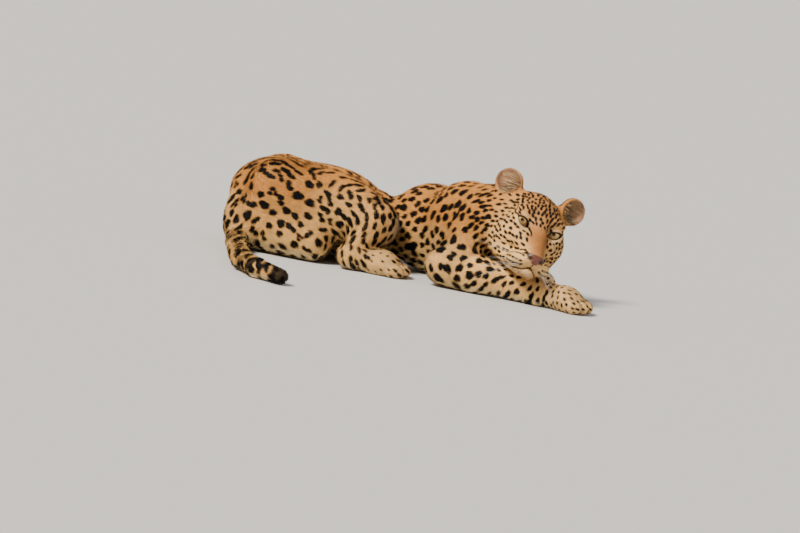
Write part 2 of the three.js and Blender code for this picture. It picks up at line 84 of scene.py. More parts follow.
# Colours of the coat, as shown on a screen
def paint(r, g, b):
    """A screen colour of 0 to 255 as linear light: ((c/255 + 0.055)/1.055) to the power 2.4."""
    return ((np.array([r, g, b]) / 255 + 0.055) / 1.055) ** 2.4


BACK = paint(206, 139, 68)
FLANK = paint(225, 166, 94)
PALE = paint(250, 196, 122)
CREAM = paint(248, 216, 162)
BRIDGE = paint(160, 102, 50)
BLACK = paint(9, 7, 6)
ROSETTE = paint(178, 112, 58)
NOSE_PINK = paint(112, 64, 50)
EAR_SKIN = paint(164, 122, 90)


# The photo's camera: seen from the -Y side, a little above the floor, with the picture rolled
MM_PER_PIXEL = 2.1
PICTURE_WIDTH = 800
SENSOR_WIDTH = 36
VIEW_ROLL = 8
DISTANCE = 9.0  # in metres, as the aim point is
AIM = Vector((-0.0027, 0.0305, 0.0197))


def place_camera():
    """A camera whose frame is 800 pixels of 2.1 mm at the aim point, 9 m away along the view."""
    roll, rise = math.radians(VIEW_ROLL), math.radians(VIEW_RISE)
    across = Vector((1, 0, 0))
    back = Vector((0, -math.cos(rise), math.sin(rise)))
    above = Vector((0, math.sin(rise), math.cos(rise)))
    right = math.cos(roll) * across + math.sin(roll) * above
    up = math.cos(roll) * above - math.sin(roll) * across
    lens = bpy.data.cameras.new("photo_view")
    camera = bpy.data.objects.new("photo_view", lens)
    bpy.context.scene.collection.objects.link(camera)
    turned = Matrix((right, up, back)).transposed().to_4x4()
    turned.translation = AIM + back * DISTANCE
    camera.matrix_world = turned
    lens.sensor_width = SENSOR_WIDTH
    lens.lens = SENSOR_WIDTH * DISTANCE / (PICTURE_WIDTH / 1000 * MM_PER_PIXEL)
    lens.clip_end = 100
    bpy.context.scene.camera = camera


place_camera()


# Small helpers on arrays of points, one row each
def rows_dot(a, b):
    """Dot product of matching rows."""
    return np.einsum("ij,ij->i", a, b)


def size_of(a):
    """Length of each row: the square root of its dot product with itself."""
    return np.sqrt(np.einsum("ij,ij->i", a, a))


def unit(a):
    """Each row divided by its length."""
    a = np.asarray(a, float)
    if a.ndim == 1:
        return a / np.linalg.norm(a)
    return a / np.maximum(size_of(a), 1e-9)[:, None]


def ramp(value, low, high):
    """Smooth step from 0 at low to 1 at high: t*t*(3 - 2t) of the clamped share t."""
    t = np.clip((value - low) / (high - low), 0, 1)
    return t * t * (3 - 2 * t)


def fade(value, low, high):
    """The smooth step turned round: 1 at low and 0 at high."""
    return 1 - ramp(value, low, high)


def mix(a, b, share):
    """a + (b - a)*share, with the share given once for each row of colours."""
    share = np.asarray(share)
    return a + (b - a) * (share[:, None] if share.ndim == 1 else share)


def along_skin(way, normal):
    """Unit directions with the part along the normal taken off: way - (way . normal) normal."""
    return unit(way - rows_dot(way, normal)[:, None] * normal)


def turn(yaw, pitch=0):
    """Axes forward, left, up for a forward direction at yaw round +Z and pitch above the level."""
    y, p = math.radians(yaw), math.radians(pitch)
    forward = np.array([math.cos(y) * math.cos(p), math.sin(y) * math.cos(p), math.sin(p)])
    left = np.array([-math.sin(y), math.cos(y), 0])
    return np.array([forward, left, np.cross(forward, left)])


# Rounded masses, each a function from points to their distances outside its surface
def egg(centre, radii, axes=None):
    """An ellipsoid: near*(near - 1)/steep, near = |q/r| and steep = |q/r^2| in its own axes."""
    centre, radii = np.array(centre, float), np.array(radii, float)

    def distance(p):
        q = p - centre
        if axes is not None:
            q = q @ np.asarray(axes).T
        near = size_of(q / radii)
        return near * (near - 1) / np.maximum(size_of(q / radii**2), 1e-9)

    return distance


def limb(a, b, ra, rb):
    """A tapered limb: distance to the line from a to b, less the radius that runs from ra to rb."""
    a, b = np.array(a, float), np.array(b, float)
    ab = b - a

    def distance(p):
        t = np.clip((p - a) @ ab / (ab @ ab), 0, 1)
        return size_of(p - a - t[:, None] * ab) - (ra + (rb - ra) * t)

    distance.lie = unit(ab)
    return distance


def soft(a, b, k):
    """Smooth minimum: b + (a - b)h - k h(1 - h) with h the clamped share 0.5 + 0.5(b - a)/k."""
    h = np.clip(0.5 + 0.5 * (b - a) / k, 0, 1)
    return b + (a - b) * h - k * h * (1 - h)


def join(first, *rest):
    """Masses joined one after another by smooth minima, each with its own fillet."""

    def distance(p):
        d = first(p)
        for k, mass in rest:
            d = soft(d, mass(p), k)
        return d

    return distance


def inside_box(low, high, mass, far=90.0):
    """The mass worked out only for points in a box round it; elsewhere the distance is `far`."""

    def distance(p):
        near = ((p > low) & (p < high)).all(1)
        d = np.full(len(p), far)
        d[near] = np.minimum(mass(p[near]), far)
        return d

    return distance


# Axes of the head: forward to the nose, to the animal's left, up to the crown
rise, yaw, roll = math.radians(VIEW_RISE), math.radians(HEAD_YAW), math.radians(HEAD_ROLL)
viewer = np.array([0, -math.cos(rise), math.sin(rise)])
above = np.array([0, math.sin(rise), math.cos(rise)])
level = np.array([math.cos(roll), 0, 0]) - math.sin(roll) * above
HEAD = np.array([
    viewer * math.cos(yaw) + level * math.sin(yaw),
    level * math.cos(yaw) - viewer * math.sin(yaw),
    above * math.cos(roll) + np.array([1, 0, 0]) * math.sin(roll),
])


def to_head(p):
    """Points in the axes of the head, measured from midway between the eyes."""
    return (p - EYES) @ HEAD.T


def from_head(q):
    """Head coordinates back to the room."""
    return np.asarray(q, float) @ HEAD + EYES


half_skull = join(
    egg([-62, 0, 10], [66, 61, 59]),
    (24, egg([-16, 0, 8], [38, 48, 40])),
    (26, egg([-18, 44, -30], [42, 31, 40])),
    (20, egg([-52, 46, -44], [36, 32, 46])),
    (12, limb([4, 0, -2], [72, 0, -57], 24, 17)),
    (14, egg([44, 0, -66], [42, 31, 25])),
    (14, egg([22, 31, -34], [30, 20, 22], turn(-20, -30))),
    (14, egg([-2, 36, 22], [17, 20, 9])),
    (20, egg([-8, 0, -78], [60, 40, 25])),
    (14, limb([46, 10, -95], [-28, 42, -68], 14, 24)),
    (8, egg([62, 0, -96], [17, 18, 11])),
    (10, egg([57, 26, -76], [34, 17, 15.5], turn(-36, 11))),
    (4, egg([80, 0, -64], [10, 19, 12], turn(0, -12))),
)
eye_pit = egg([28, 33, -2], [17, 16, 13], turn(20))
lids = egg([-1, EYE_SPACING / 2, 0], [17.5, 19, 17.5])


def skull(q):
    """Both mirrored halves of the skull, with the pit before each eye and the lids round it."""
    half = np.column_stack([q[:, 0], np.abs(q[:, 1]), q[:, 2]])
    return soft(-soft(-half_skull(half), eye_pit(half), 10), lids(half), 7)


def ear_axes(side, tilt, back, out):
    """Axes of one ear in head coordinates: across it, along it to the tip, and out of its opening."""
    t = math.radians(tilt)
    along = unit([back, side * math.cos(t), math.sin(t)])
    opening = np.array([1, side * out, 0.1])
    front = unit(opening - along * (opening @ along))
    return np.array([np.cross(along, front), along, front])


EAR_AXES = {name: ear_axes(**form) for name, form in EAR.items()}
EAR_ROOT = {name: np.array([-72, form["side"] * 58, 41]) for name, form in EAR.items()}
ear_cup = egg([0, 27, -1], [30, 30, 17])
ear_base = egg([0, -2, -6], [25, 22, 15])
ear_hollow = egg([0, 29, 10], [25, 27.5, 18])


def in_ear(q, name):
    """Head coordinates in the axes of one ear, from its root."""
    return (q - EAR_ROOT[name]) @ EAR_AXES[name].T


def ear(q, name):
    """A round cup on a broad root."""
    e = in_ear(q, name)
    return soft(ear_cup(e), ear_base(e), 8)


def head(p):
    """The skull with both ears."""
    q = to_head(p)
    return soft(soft(skull(q), ear(q, "left"), 7), ear(q, "right"), 7)


def paw(wrist, tip):
    """A broad pad with four toes side by side, pointing from the wrist to the tip."""
    wrist, tip = np.array(wrist, float), np.array(tip, float)
    along = unit([tip[0] - wrist[0], tip[1] - wrist[1], 0])
    across = np.array([-along[1], along[0], 0])
    axes = np.array([along, across, [0, 0, 1]])

    def at(forward, aside, z):
        """A point at height z, forward of the tip less the paw's length and aside."""
        spot = tip + along * (forward - PAW_LENGTH) + across * aside
        return [spot[0], spot[1], z]

    toes = [
        (4, egg(at(29 if abs(place) > 1 else 38, place * TOE_SPACING, 14.5), [24, 11.5, 16], axes))
        for place in (-1.5, -0.5, 0.5, 1.5)
    ]
    return join(limb(wrist, at(0, 0, 26), 28, 28), (12, egg(at(8, 0, 22), [36, 35, 25], axes)), *toes)


def between(a, b, t):
    """The point a share t of the way from a to b."""
    return np.array(a, float) + t * (np.array(b, float) - np.array(a, float))


pelvis = egg([-285, 0, 120], [98, 78, 80], turn(4))
croup = egg([-215, 4, 120], [120, 74, 78], turn(6, -8))
loin = egg([-95, 18, 78], [120, 72, 79])
ribs = egg([62, -28, 96], [108, 86, 98], turn(-28))
chest = egg([132, -98, 97], [92, 84, 99], turn(-43))
trunk = join(pelvis, (30, croup), (34, loin), (34, ribs), (36, chest))
neck_core = limb(JOINT["withers"], JOINT["throat"], 78, 70)
neck = join(neck_core, (30, limb(JOINT["nape"], from_head([-60, 0, -14]), 70, 58)))
blade = egg([118, -165, 140], [80, 34, 62], turn(-40, 35))
forearm = egg(between(RIGHT["elbow"], RIGHT["wrist"], 0.28), [70, 38, 40], turn(-23))
foreleg_right = join(
    blade,
    (30, limb(RIGHT["shoulder"], RIGHT["elbow"], 60, 40)),
    (20, limb([84, -226, 43], RIGHT["elbow"], 30, 34)),
    (20, limb(RIGHT["elbow"], RIGHT["wrist"], 41, 28)),
    (20, forearm),
    (14, paw(RIGHT["wrist"], RIGHT["paw"])),
)
foreleg_left = join(
    egg([185, -85, 130], [70, 34, 60], turn(-40, 35)),
    (30, limb(LEFT["shoulder"], LEFT["elbow"], 55, 42)),
    (20, limb(LEFT["elbow"], LEFT["wrist"], 41, 28)),
    (12, limb(LEFT["wrist"], LEFT["paw"], 28, 27)),
)


def hindleg(s, haunch, rump, ham, point):
    """A folded hind leg: haunch and thigh to the knee, shank back to the hock, foot forward."""
    return join(
        limb(s["hip"], s["knee"], 81, 53),
        (30, haunch),
        (30, limb(rump, ham, 62, 46)),
        (16, limb(s["knee"], s["hock"], 46, 27)),
        (12, limb(point, s["hock"], 22, 26)),
        (12, limb(s["hock"], s["ball"], 28, 27)),
        (12, paw(s["ball"], s["toes"])),
    )


haunch_right = egg([-150, -66, 124], [109, 56, 70], turn(-14, -12))
haunch_left = egg([-150, 72, 118], [109, 56, 70], turn(14, -12))
hindleg_right = hindleg(RIGHT, haunch_right, [-322, -50, 59], [-190, -116, 43], [-110, -163, 31])
hindleg_left = hindleg(LEFT, haunch_left, [-326, 44, 59], [-150, 138, 54], [-258, 160, 30])
tail_links = [limb(a[:3], b[:3], a[3], b[3]) for a, b in zip(TAIL[:-1], TAIL[1:], strict=True)]
tail = join(tail_links[0], *[(10, link) for link in tail_links[1:]])

PARTS = {
    "head": inside_box([100, -460, -10], [420, -150, 330], head),
    "neck": inside_box([10, -400, 10], [360, 10, 310], neck),
    "trunk": trunk,
    "foreleg_right": inside_box([-30, -480, -90], [500, -60, 290], foreleg_right),
    "foreleg_left": inside_box([70, -300, -90], [420, 80, 290], foreleg_left),
    "hindleg_right": inside_box([-490, -290, -90], [120, 130, 290], hindleg_right),
    "hindleg_left": inside_box([-490, -130, -90], [110, 300, 290], hindleg_left),
    "tail": inside_box([-470, -660, -90], [-150, 110, 230], tail),
}


def leopard(p, apart=None):
    """The whole outline: every part joined by smooth minima, the forelegs only closely by the jaw."""
    d = {name: part(p) for name, part in PARTS.items()}
    if apart is not None:
        apart.update(d)
    close = ramp(d["head"], 8, 45)
    whole = soft(soft(d["trunk"], d["neck"], 34), d["head"], 16)
    for name in ("foreleg_right", "foreleg_left"):
        whole = soft(whole, d[name], 3 + 9 * close)
    for name in ("hindleg_right", "hindleg_left"):
        whole = soft(whole, d[name], 12)
    return soft(whole, d["tail"], 20)


# Depth of the coat over the skin, in millimetres
BODY_DEPTH = 5.0
FACE_DEPTH = 1.6
PAWS = [RIGHT["paw"], LEFT["paw"], RIGHT["toes"], LEFT["toes"]]


def coat_depth(p, q, head_distance):
    """Body depth, shallower towards the face, the ears, the paws and last round eyes, nose and lips."""
    on_face = fade(head_distance, 4, 50)
    face = FACE_DEPTH + 2.2 * ramp(-q[:, 0], -20, 70)
    depth = BODY_DEPTH + (face - BODY_DEPTH) * on_face
    for name in EAR:
        depth = np.minimum(depth, 0.9 + 4 * ramp(ear(q, name), 0, 30))
    for spot in PAWS:
        depth = np.minimum(depth, 2.2 + 3.5 * ramp(size_of(p - np.array(spot)), 60, 130))
    bare = np.minimum(
        size_of(np.column_stack([q[:, 0] - 12, np.abs(q[:, 1]) - EYE_SPACING / 2, q[:, 2]])) - 12,
        size_of((q - [88, 0, -66]) / [1, 1.3, 0.8]) - 12,
    )
    return np.minimum(depth, 0.35 + 4.5 * ramp(bare, 0, 20))


def face_places(q):
    """Forward, aside and up in head coordinates, both sides alike, and how far out from the eye."""
    side = np.abs(q[:, 1])
    return q[:, 0], side, q[:, 2], side - EYE_SPACING / 2


# The slit between the lids, as a lens between two arcs in the plane across and up
INNER_CORNER = np.array([-15.5, -10.5])
OUTER_CORNER = np.array([13.5, 3.5])


def eye_lens(a, u):
    """Distance outside a lens whose two arcs pass through the corners, 7.4 mm above and 6.8 below."""
    chord = OUTER_CORNER - INNER_CORNER
    half = np.linalg.norm(chord) / 2
    along = chord / (2 * half)
    over = np.array([-along[1], along[0]])
    centre = (OUTER_CORNER + INNER_CORNER) / 2
    x = (a - centre[0]) * along[0] + (u - centre[1]) * along[1]
    y = (a - centre[0]) * over[0] + (u - centre[1]) * over[1]
    arcs = []
    for sign, bulge in ((1, 7.4), (-1, 6.8)):
        radius = (half**2 + bulge**2) / (2 * bulge)
        arcs.append(np.hypot(x, y - sign * (bulge - radius)) - radius)
    return np.maximum(*arcs)


def mouth_height(side):
    """Height of the line of the mouth: it drops by 9.5 under the pads and by 7.5 more to the corner."""
    return -85 - 9.5 * ramp(side, 0, 17) - 7.5 * ramp(side, 15, 44)


def face_cuts(q, d):
    """Adds the eye slits, nostrils, mouth, groove under the nose and hollows of the ears to d."""
    near = (d < 60) & (q[:, 0] > -120)
    s, e = q[near], d[near]
    f, side, u, a = face_places(s)
    socket = egg([-2, 0, 0], [14.7, 15.3, 14.8])(np.column_stack([f, a, u - 0.35 * a]))
    slit = np.maximum(np.maximum(eye_lens(a, u), -socket), -2 - f)
    e = -soft(-e, slit, 1.0)
    off_lips = (u - mouth_height(side)) / 1.7
    mouth = 2.4 * np.exp(-(off_lips**2)) * ramp(f, 26, 40) * ramp(-side, -44, -34)
    groove = 1.6 * np.exp(-((side / 1.4) ** 2)) * ramp(f, 66, 74) * ramp(-u, 68, 73) * ramp(u, -90, -84)
    nostril = 3.6 * np.exp(-(((f - 84) / 8) ** 2 + ((side - 11) / 3.4) ** 2 + ((u + 66) / 2.6) ** 2))
    off_fold = (eye_lens(a, u - 1.5) - 5.5) / 1.5
    lid_fold = 0.9 * np.exp(-(off_fold**2)) * ramp(u - 0.5 * a, 0, 6) * ramp(f, 0, 6)
    e = e + mouth + groove + nostril + lid_fold
    for name in EAR:
        e = -soft(-e, ear_hollow(in_ear(s, name)), 3)
    d = d.copy()
    d[near] = e
    return d


def skin(p):
    """Distance outside the skin: the outline drawn in by the coat's depth, cut level at the floor."""
    apart = {}
    whole = leopard(p, apart)
    q = to_head(p)
    d = whole + coat_depth(p, q, apart["head"])
    return -soft(-face_cuts(q, d), p[:, 2] - 0.8, 2.5)


def slope(field, p, step=0.4):
    """Gradient of a field by forward differences."""
    base = field(p)
    return base, np.stack([field(p + step * axis) - base for axis in np.eye(3)], 1) / step


# Surface of a field on a grid whose lines crowd together where the shape is fine
def grid_lines(low, high, coarse, bands):
    """Lines from low to high, `coarse` apart, drawing together to `fine` inside each band."""
    lines = [low]
    while lines[-1] < high:
        gap = coarse
        for centre, half, fine in bands:
            gap = min(gap, max(fine, fine + (abs(lines[-1] - centre) - half) * 0.12))
        lines.append(lines[-1] + gap)
    return np.array(lines)


def in_chunks(field, p, count=250000):
    """The field at many points, worked out in chunks to keep memory low."""
    return np.concatenate([field(p[i:i + count]) for i in range(0, len(p), count)])


def surface(field, lines, blocks=4):
    """Surface nets: each grid cell that the surface crosses gets a point at the mean of the crossings
    on its edges, and each crossed grid line a face between the four cells round it."""
    spare = [np.arange(1, 2 * blocks - (len(x) - 1) % blocks) * (x[-1] - x[-2]) for x in lines]
    lines = [np.append(x, x[-1] + more) for x, more in zip(lines, spare, strict=True)]
    counts = [(len(x) - 1) // blocks for x in lines]
    cube = np.stack(np.meshgrid(*[np.arange(n) for n in counts], indexing="ij"), -1).reshape(-1, 3)
    low = np.stack([lines[i][cube[:, i] * blocks] for i in range(3)], 1)
    high = np.stack([lines[i][cube[:, i] * blocks + blocks] for i in range(3)], 1)
    reach = size_of(high - low) / 2
    cube = cube[np.abs(in_chunks(field, (low + high) / 2)) < reach * 1.25 + 5]
    steps = np.stack(np.meshgrid(*[np.arange(blocks + 1)] * 3, indexing="ij"), -1).reshape(-1, 3)
    wide = [len(x) + 2 for x in lines]
    stride = np.array([wide[1] * wide[2], wide[2], 1])
    keys = np.unique((cube[:, None, :] * blocks + steps[None]).reshape(-1, 3) @ stride)
    index = np.stack([keys // stride[0], keys // wide[2] % wide[1], keys % wide[2]], 1)
    points = np.stack([lines[i][index[:, i]] for i in range(3)], 1)
    values = in_chunks(field, points)
    table = np.full(wide[0] * wide[1] * wide[2], np.nan, np.float32)
    table[keys] = values
    quads, owners, crossings = [], [], []
    for i in range(3):
        ahead = table[keys + stride[i]]
        crossed = ~np.isnan(ahead) & ((values < 0) != (ahead < 0))
        key, here, there = keys[crossed], values[crossed], ahead[crossed]
        spot = points[crossed].copy()
        after = lines[i][np.minimum(index[crossed, i] + 1, len(lines[i]) - 1)]
        spot[:, i] += here / (here - there) * (after - spot[:, i])
        s, t = stride[(i + 1) % 3], stride[(i + 2) % 3]
        quad = np.stack([key - s - t, key - t, key, key - s], 1)
        quad[here >= 0] = quad[here >= 0][:, ::-1]
        quads.append(quad)
        owners += [key - s - t, key - t, key, key - s]
        crossings += [spot] * 4
    owners, crossings = np.concatenate(owners), np.concatenate(crossings)
    cells, where = np.unique(owners, return_inverse=True)
    share = np.bincount(where)
    vertices = np.stack([np.bincount(where, crossings[:, i]) / share for i in range(3)], 1)
    return vertices, np.searchsorted(cells, np.concatenate(quads))


def settle(field, vertices, faces, rounds=3):
    """Evens the points: each moves half way to the mean of its neighbours, then back along the slope."""
    a, b = faces.ravel(), np.roll(faces, -1, axis=1).ravel()
    ends, others = np.concatenate([a, b]), np.concatenate([b, a])
    n = len(vertices)
    count = np.maximum(np.bincount(ends, minlength=n), 1)[:, None]
    for again in range(rounds):
        if again:
            mean = np.stack([np.bincount(ends, vertices[others, i], n) for i in range(3)], 1) / count
            vertices = vertices + 0.5 * (mean - vertices)
        d, rate = slope(field, vertices)
        steep = np.maximum(rows_dot(rate, rate), 0.3)[:, None]
        vertices = vertices - np.clip(d, -2.5, 2.5)[:, None] * rate / steep
    return vertices


def mesh_piece(name, vertices, faces):
    """A smooth object at the origin from points in millimetres and faces of as many corners each."""
    faces = np.asarray(faces, np.int32)
    mesh = bpy.data.meshes.new(name)
    mesh.vertices.add(len(vertices))
    mesh.vertices.foreach_set("co", ((vertices - MIDDLE) / 1000).astype(np.float32).ravel())
    mesh.loops.add(faces.size)
    mesh.loops.foreach_set("vertex_index", faces.ravel())
    mesh.polygons.add(len(faces))
    mesh.polygons.foreach_set("loop_start", np.arange(0, faces.size, faces.shape[1], dtype=np.int32))
    mesh.polygons.foreach_set("use_smooth", np.ones(len(faces), bool))
    mesh.update(calc_edges=True)
    piece = bpy.data.objects.new(name, mesh)
    bpy.context.scene.collection.objects.link(piece)
    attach(piece, "root")
    return piece


def set_colours(piece, name, colours):
    """Stores one linear colour for each point under a name that materials read."""
    layer = piece.data.color_attributes.new(name, "FLOAT_COLOR", "POINT")
    full = np.column_stack([colours, np.ones(len(colours))]).astype(np.float32)
    layer.data.foreach_set("color", full.ravel())


def set_values(piece, name, values):
    """Stores one number for each point under a name that materials read."""
    layer = piece.data.attributes.new(name, "FLOAT", "POINT")
    layer.data.foreach_set("value", np.asarray(values, np.float32))


def set_normals(piece, normals):
    """Gives each point its own shading direction."""
    layer = piece.data.attributes.new("custom_normal", "FLOAT_VECTOR", "POINT")
    layer.data.foreach_set("vector", unit(normals).astype(np.float32).ravel())


# The skin's points, its slopes, and how near each one is to every part of the body
cell, face_cell = ((CELL, FACE_CELL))
grid = [
    grid_lines(-425, 440, cell, [(268, 72, face_cell), (350, 32, face_cell + 0.7), (-20, 40, 5)]),
    grid_lines(-622, 252, cell, [(-325, 60, face_cell), (-215, 45, face_cell + 1)]),
    grid_lines(-8, 280, cell, [(135, 62, face_cell), (225, 45, face_cell + 0.7), (10, 14, 4.8)]),
]
skin_points, skin_faces = surface(skin, grid)
skin_points = settle(skin, skin_points, skin_faces)
skin_normals = unit(slope(skin, skin_points)[1])
skin_near = {}
leopard(skin_points, skin_near)
skin_q = to_head(skin_points)
skin_depth = coat_depth(skin_points, skin_q, skin_near["head"])


# The lie of the coat: along each mass in its own direction, blended by nearness
LIE = [(mass, unit(way)) for mass, way in (
    (pelvis, [-1, 0, -0.55]), (croup, [-1, 0.02, -0.25]), (loin, [-1, 0.1, -0.2]),
    (ribs, [-0.88, 0.42, -0.3]), (chest, [-0.73, 0.5, -0.5]), (neck_core, [-0.62, 0.75, -0.25]),
    (blade, [-0.5, 0.1, -0.85]), (haunch_right, [-0.95, -0.1, -0.3]),
    (haunch_left, [-0.95, 0.1, -0.3]), (forearm, [0.92, -0.4, -0.15]),
)]
LIMBS = [
    ("shoulder", "elbow", 58, 36), ("elbow", "wrist", 42, 30), ("wrist", "paw", 29, 28),
    ("hip", "knee", 78, 50), ("knee", "hock", 46, 27), ("hock", "ball", 28, 27), ("ball", "toes", 28, 28),
]
limbs = [limb([84, -226, 43], RIGHT["elbow"], 30, 36)]
limbs += [limb(s[a], s[b], ra, rb) for s in (RIGHT, LEFT) for a, b, ra, rb in LIMBS]
LIE += [(link, link.lie) for link in limbs + tail_links]


def lie_of_coat(p, n, q, near):
    """Mean of the lies, each weighted by exp(-distance/14); on the head it spreads from before the
    nose, on an ear it runs to the tip. The part along the normal is taken off."""
    gaps = np.stack([np.maximum(mass(p), -25) for mass, _ in LIE], 1)
    weight = np.exp(-(gaps - gaps.min(1, keepdims=True)) / 14)
    flow = unit(weight @ np.array([way for _, way in LIE]))
    spread = unit((q - [96, 0, -58]) * [1, 1, 1.1]) @ HEAD
    flow = mix(flow, spread, fade(near["head"] - near["neck"], -22, 14))
    for name in EAR:
        on_ear = fade(ear(q, name), -1, 7)
        flow = mix(flow, EAR_AXES[name][1] @ HEAD, on_ear)
    swirl = 0.12 * np.sin(p[:, 0] / 31 + 1.7 * np.sin(p[:, 2] / 27))
    swirl = swirl + 0.1 * np.sin(p[:, 1] / 23 + p[:, 2] / 17)
    flow = along_skin(flow, n)
    return unit(flow + swirl[:, None] * np.cross(n, flow))


skin_flow = lie_of_coat(skin_points, skin_normals, skin_q, skin_near)


# Colours under the spots
def flank_fold(p):
    """Reach from the loose pale skin before the right knee: 1 at its edge, which sine waves make ragged."""
    ragged = 0.16 * np.sin(p[:, 1] / 5 + 2 * np.sin(p[:, 2] / 7))
    ragged = ragged + 0.1 * np.sin(p[:, 2] / 3.1 + p[:, 1] / 4)
    return size_of((p - [-12, -128, 96]) / [26, 54, 44]) + ragged


def ground_colour(p, n, q, near_head, near_tail):
    """The coat between the spots: orange on the back, paler down the sides, cream below; on the head
    plain tan on the bridge of the nose, pale round the eyes, cream on the muzzle, and under the chin a
    darker streaked tan whose streaks are hair and whose darkening is painted shade."""
    low = 0.8 * fade(p[:, 2], 0, 175) + 0.35 * fade(n[:, 2], -0.8, 0.3)
    colour = mix(BACK, FLANK, ramp(low, 0.05, 0.5))
    colour = mix(colour, PALE, ramp(low, 0.45, 1.0))
    colour = mix(colour, CREAM, ramp(low, 0.95, 1.2))
    thigh = size_of((p - [-110, -125, 110]) / [110, 60, 70])
    colour = mix(colour, PALE, 0.55 * fade(thigh, 0.5, 1.2))
    elbow = size_of((p - [150, -255, 55]) / [130, 60, 50])
    colour = mix(colour, PALE, 0.6 * fade(elbow, 0.5, 1.2))
    colour = mix(colour, paint(226, 200, 158), 0.75 * fade(flank_fold(p), 0.45, 1.2))
    for spot in PAWS:
        foot = size_of(p - np.array(spot))
        colour = mix(colour, paint(232, 186, 124), 0.7 * fade(foot, 60, 140))
    on_tail = fade(near_tail, 2, 14)
    below = ramp(-n[:, 2] + 0.4 * n[:, 0], -0.3, 0.7)
    colour = mix(colour, mix(mix(FLANK, PALE, 0.4), CREAM, below), on_tail)

    f, side, u, a = face_places(q)
    aside = q[:, 1]
    face = mix(paint(190, 132, 74), paint(216, 162, 98), ramp(side - 0.4 * u, 18, 50))
    face = mix(face, PALE, 0.9 * ramp(-u + 0.35 * side, 32, 74) * ramp(f, -70, -30))
    bridge = fade(side - 0.06 * (u + 30), 8, 28) * ramp(-u, -14, 24) * ramp(f, 14, 26)
    mottle = np.sin(f / 3.1 + 2 * np.sin(aside / 4.3)) * np.sin(aside / 3.7 + 1.5 * np.sin(u / 5.9))
    mottle = 0.5 + 0.5 * mottle
    brown = mix(BRIDGE, paint(138, 86, 44), 0.5 * mottle + 0.4 * ramp(-u, 40, 58))
    face = mix(face, brown, 0.85 * bridge)
    muzzle = fade(size_of((q - np.array([60, 0, -86])) / [44, 50, 18]), 0.6, 1.3) * ramp(-u, 56, 80)
    face = mix(face, paint(236, 194, 130), 0.8 * muzzle)
    # Under the chin: hair streaks over a darker tan, the darkening being painted shade under the jaw.
    chin = ramp(-u, 86, 92) * ramp(f, 10, 40)
    hairs = np.sin(aside * 1.3 + 2 * np.sin(f * 0.9)) * np.sin(f * 1.1 + 1.5 * np.sin(aside * 0.7))
    hairs = 0.5 + 0.5 * hairs
    face = mix(face, mix(paint(208, 168, 118), paint(138, 102, 68), 0.5 * hairs), 0.85 * chin)
    under = fade(np.abs(eye_lens(a, u + 6) - 0.5), 2.5, 6) * ramp(-u + 0.45 * a, 2, 7)
    over = 0.7 * fade(np.hypot((a + 4) / 10, (u - 11.5 - 0.3 * a) / 4.5), 0.5, 1.2)
    before = ramp(f, -8, 4)
    face = mix(face, paint(236, 200, 142), 0.55 * np.maximum(under, 0.8 * over) * before)
    inner = fade(np.hypot((a + 16) / 6, (u - 4) / 12), 0.6, 1.2) * before
    face = mix(face, paint(228, 196, 146), 0.35 * inner)
    on_head = fade(near_head, 3, 26) * (1 - 0.85 * ramp(-f, 22, 78))
    colour = mix(colour, face, on_head)
    for name in EAR:
        e = in_ear(q, name)
        on_ear = fade(ear(q, name), 0, 5)
        hollow = fade(ear_hollow(e), 0.6, 2.6)
        behind = ramp(-e[:, 2], -3, 3) * (1 - hollow) * ramp(e[:, 1], 0, 8)
        patch = fade(np.hypot(e[:, 0] / 13, (e[:, 1] - 36) / 10), 0.8, 1.15)
        back_colour = mix(BLACK, CREAM, patch * ramp(-e[:, 2], 2, 8))
        rim_colour = paint(196, 132, 66)
        # The lining darkens towards the root of the hollow: painted shade deep in the ear's cup.
        lining = mix(paint(78, 50, 34), EAR_SKIN, ramp(e[:, 1], 10, 40))
        shown = mix(mix(rim_colour, back_colour, behind), lining, hollow)
        colour = mix(colour, shown, on_ear)
    return colour


def dark_lines(q, near_head):
    """Black skin and hair at set places on the head: lid rims, tear lines, lips and nose edges."""
    f, side, u, a = face_places(q)
    front = ramp(f, -10, -2)
    upper = ramp(u - 0.45 * a, -3, 4)
    rim = fade(eye_lens(a, u), 0.6 + 1.5 * upper, 1.6 + 2.1 * upper) * front
    rim = rim * (1 - 0.75 * ramp(-eye_lens(a, u), 1.0, 2.0))
    tail_line = fade(np.hypot((a - 17) / 7.5, (u - 7 - 0.35 * (a - 17)) / 2.2), 0.6, 1.15) * front
    t = np.clip((-u - 8) / 26, 0, 1)
    tear = fade(np.abs(a + 16.5 + 7 * t - 2.5 * t * t) / (2.8 - 1.3 * t), 0.6, 1.3) * ramp(-u, 6, 10)
    tear = tear * fade(-u, 19, 31) * front
    lips = fade(np.abs(u - mouth_height(side)), 0.9, 2.2) * ramp(f, 24, 34) * ramp(-side, -44, -36)
    groove = fade(side, 0.8, 1.9) * ramp(f, 66, 74) * ramp(-u, 70, 74) * ramp(u, -89, -85)
    corner = fade(size_of((np.column_stack([f, side, u]) - [22, 42, -95]) / [16, 12, 7]), 0.6, 1.1)
    wings = fade(np.hypot((side - 19) / 5.5, (u + 62 - 1.2 * (side - 18)) / 6), 0.6, 1.2) * ramp(f, 64, 70)
    below = fade(np.abs(u + 71.5 - 0.25 * side) / 2.2, 0.7, 1.3) * ramp(f, 70, 76) * ramp(-side, -17, -12)
    dark = [rim, tail_line, tear, 0.95 * lips, 0.9 * groove, 0.85 * corner, 0.9 * wings, 0.9 * below]
    return np.max(dark, 0) * fade(near_head, 0, 6)


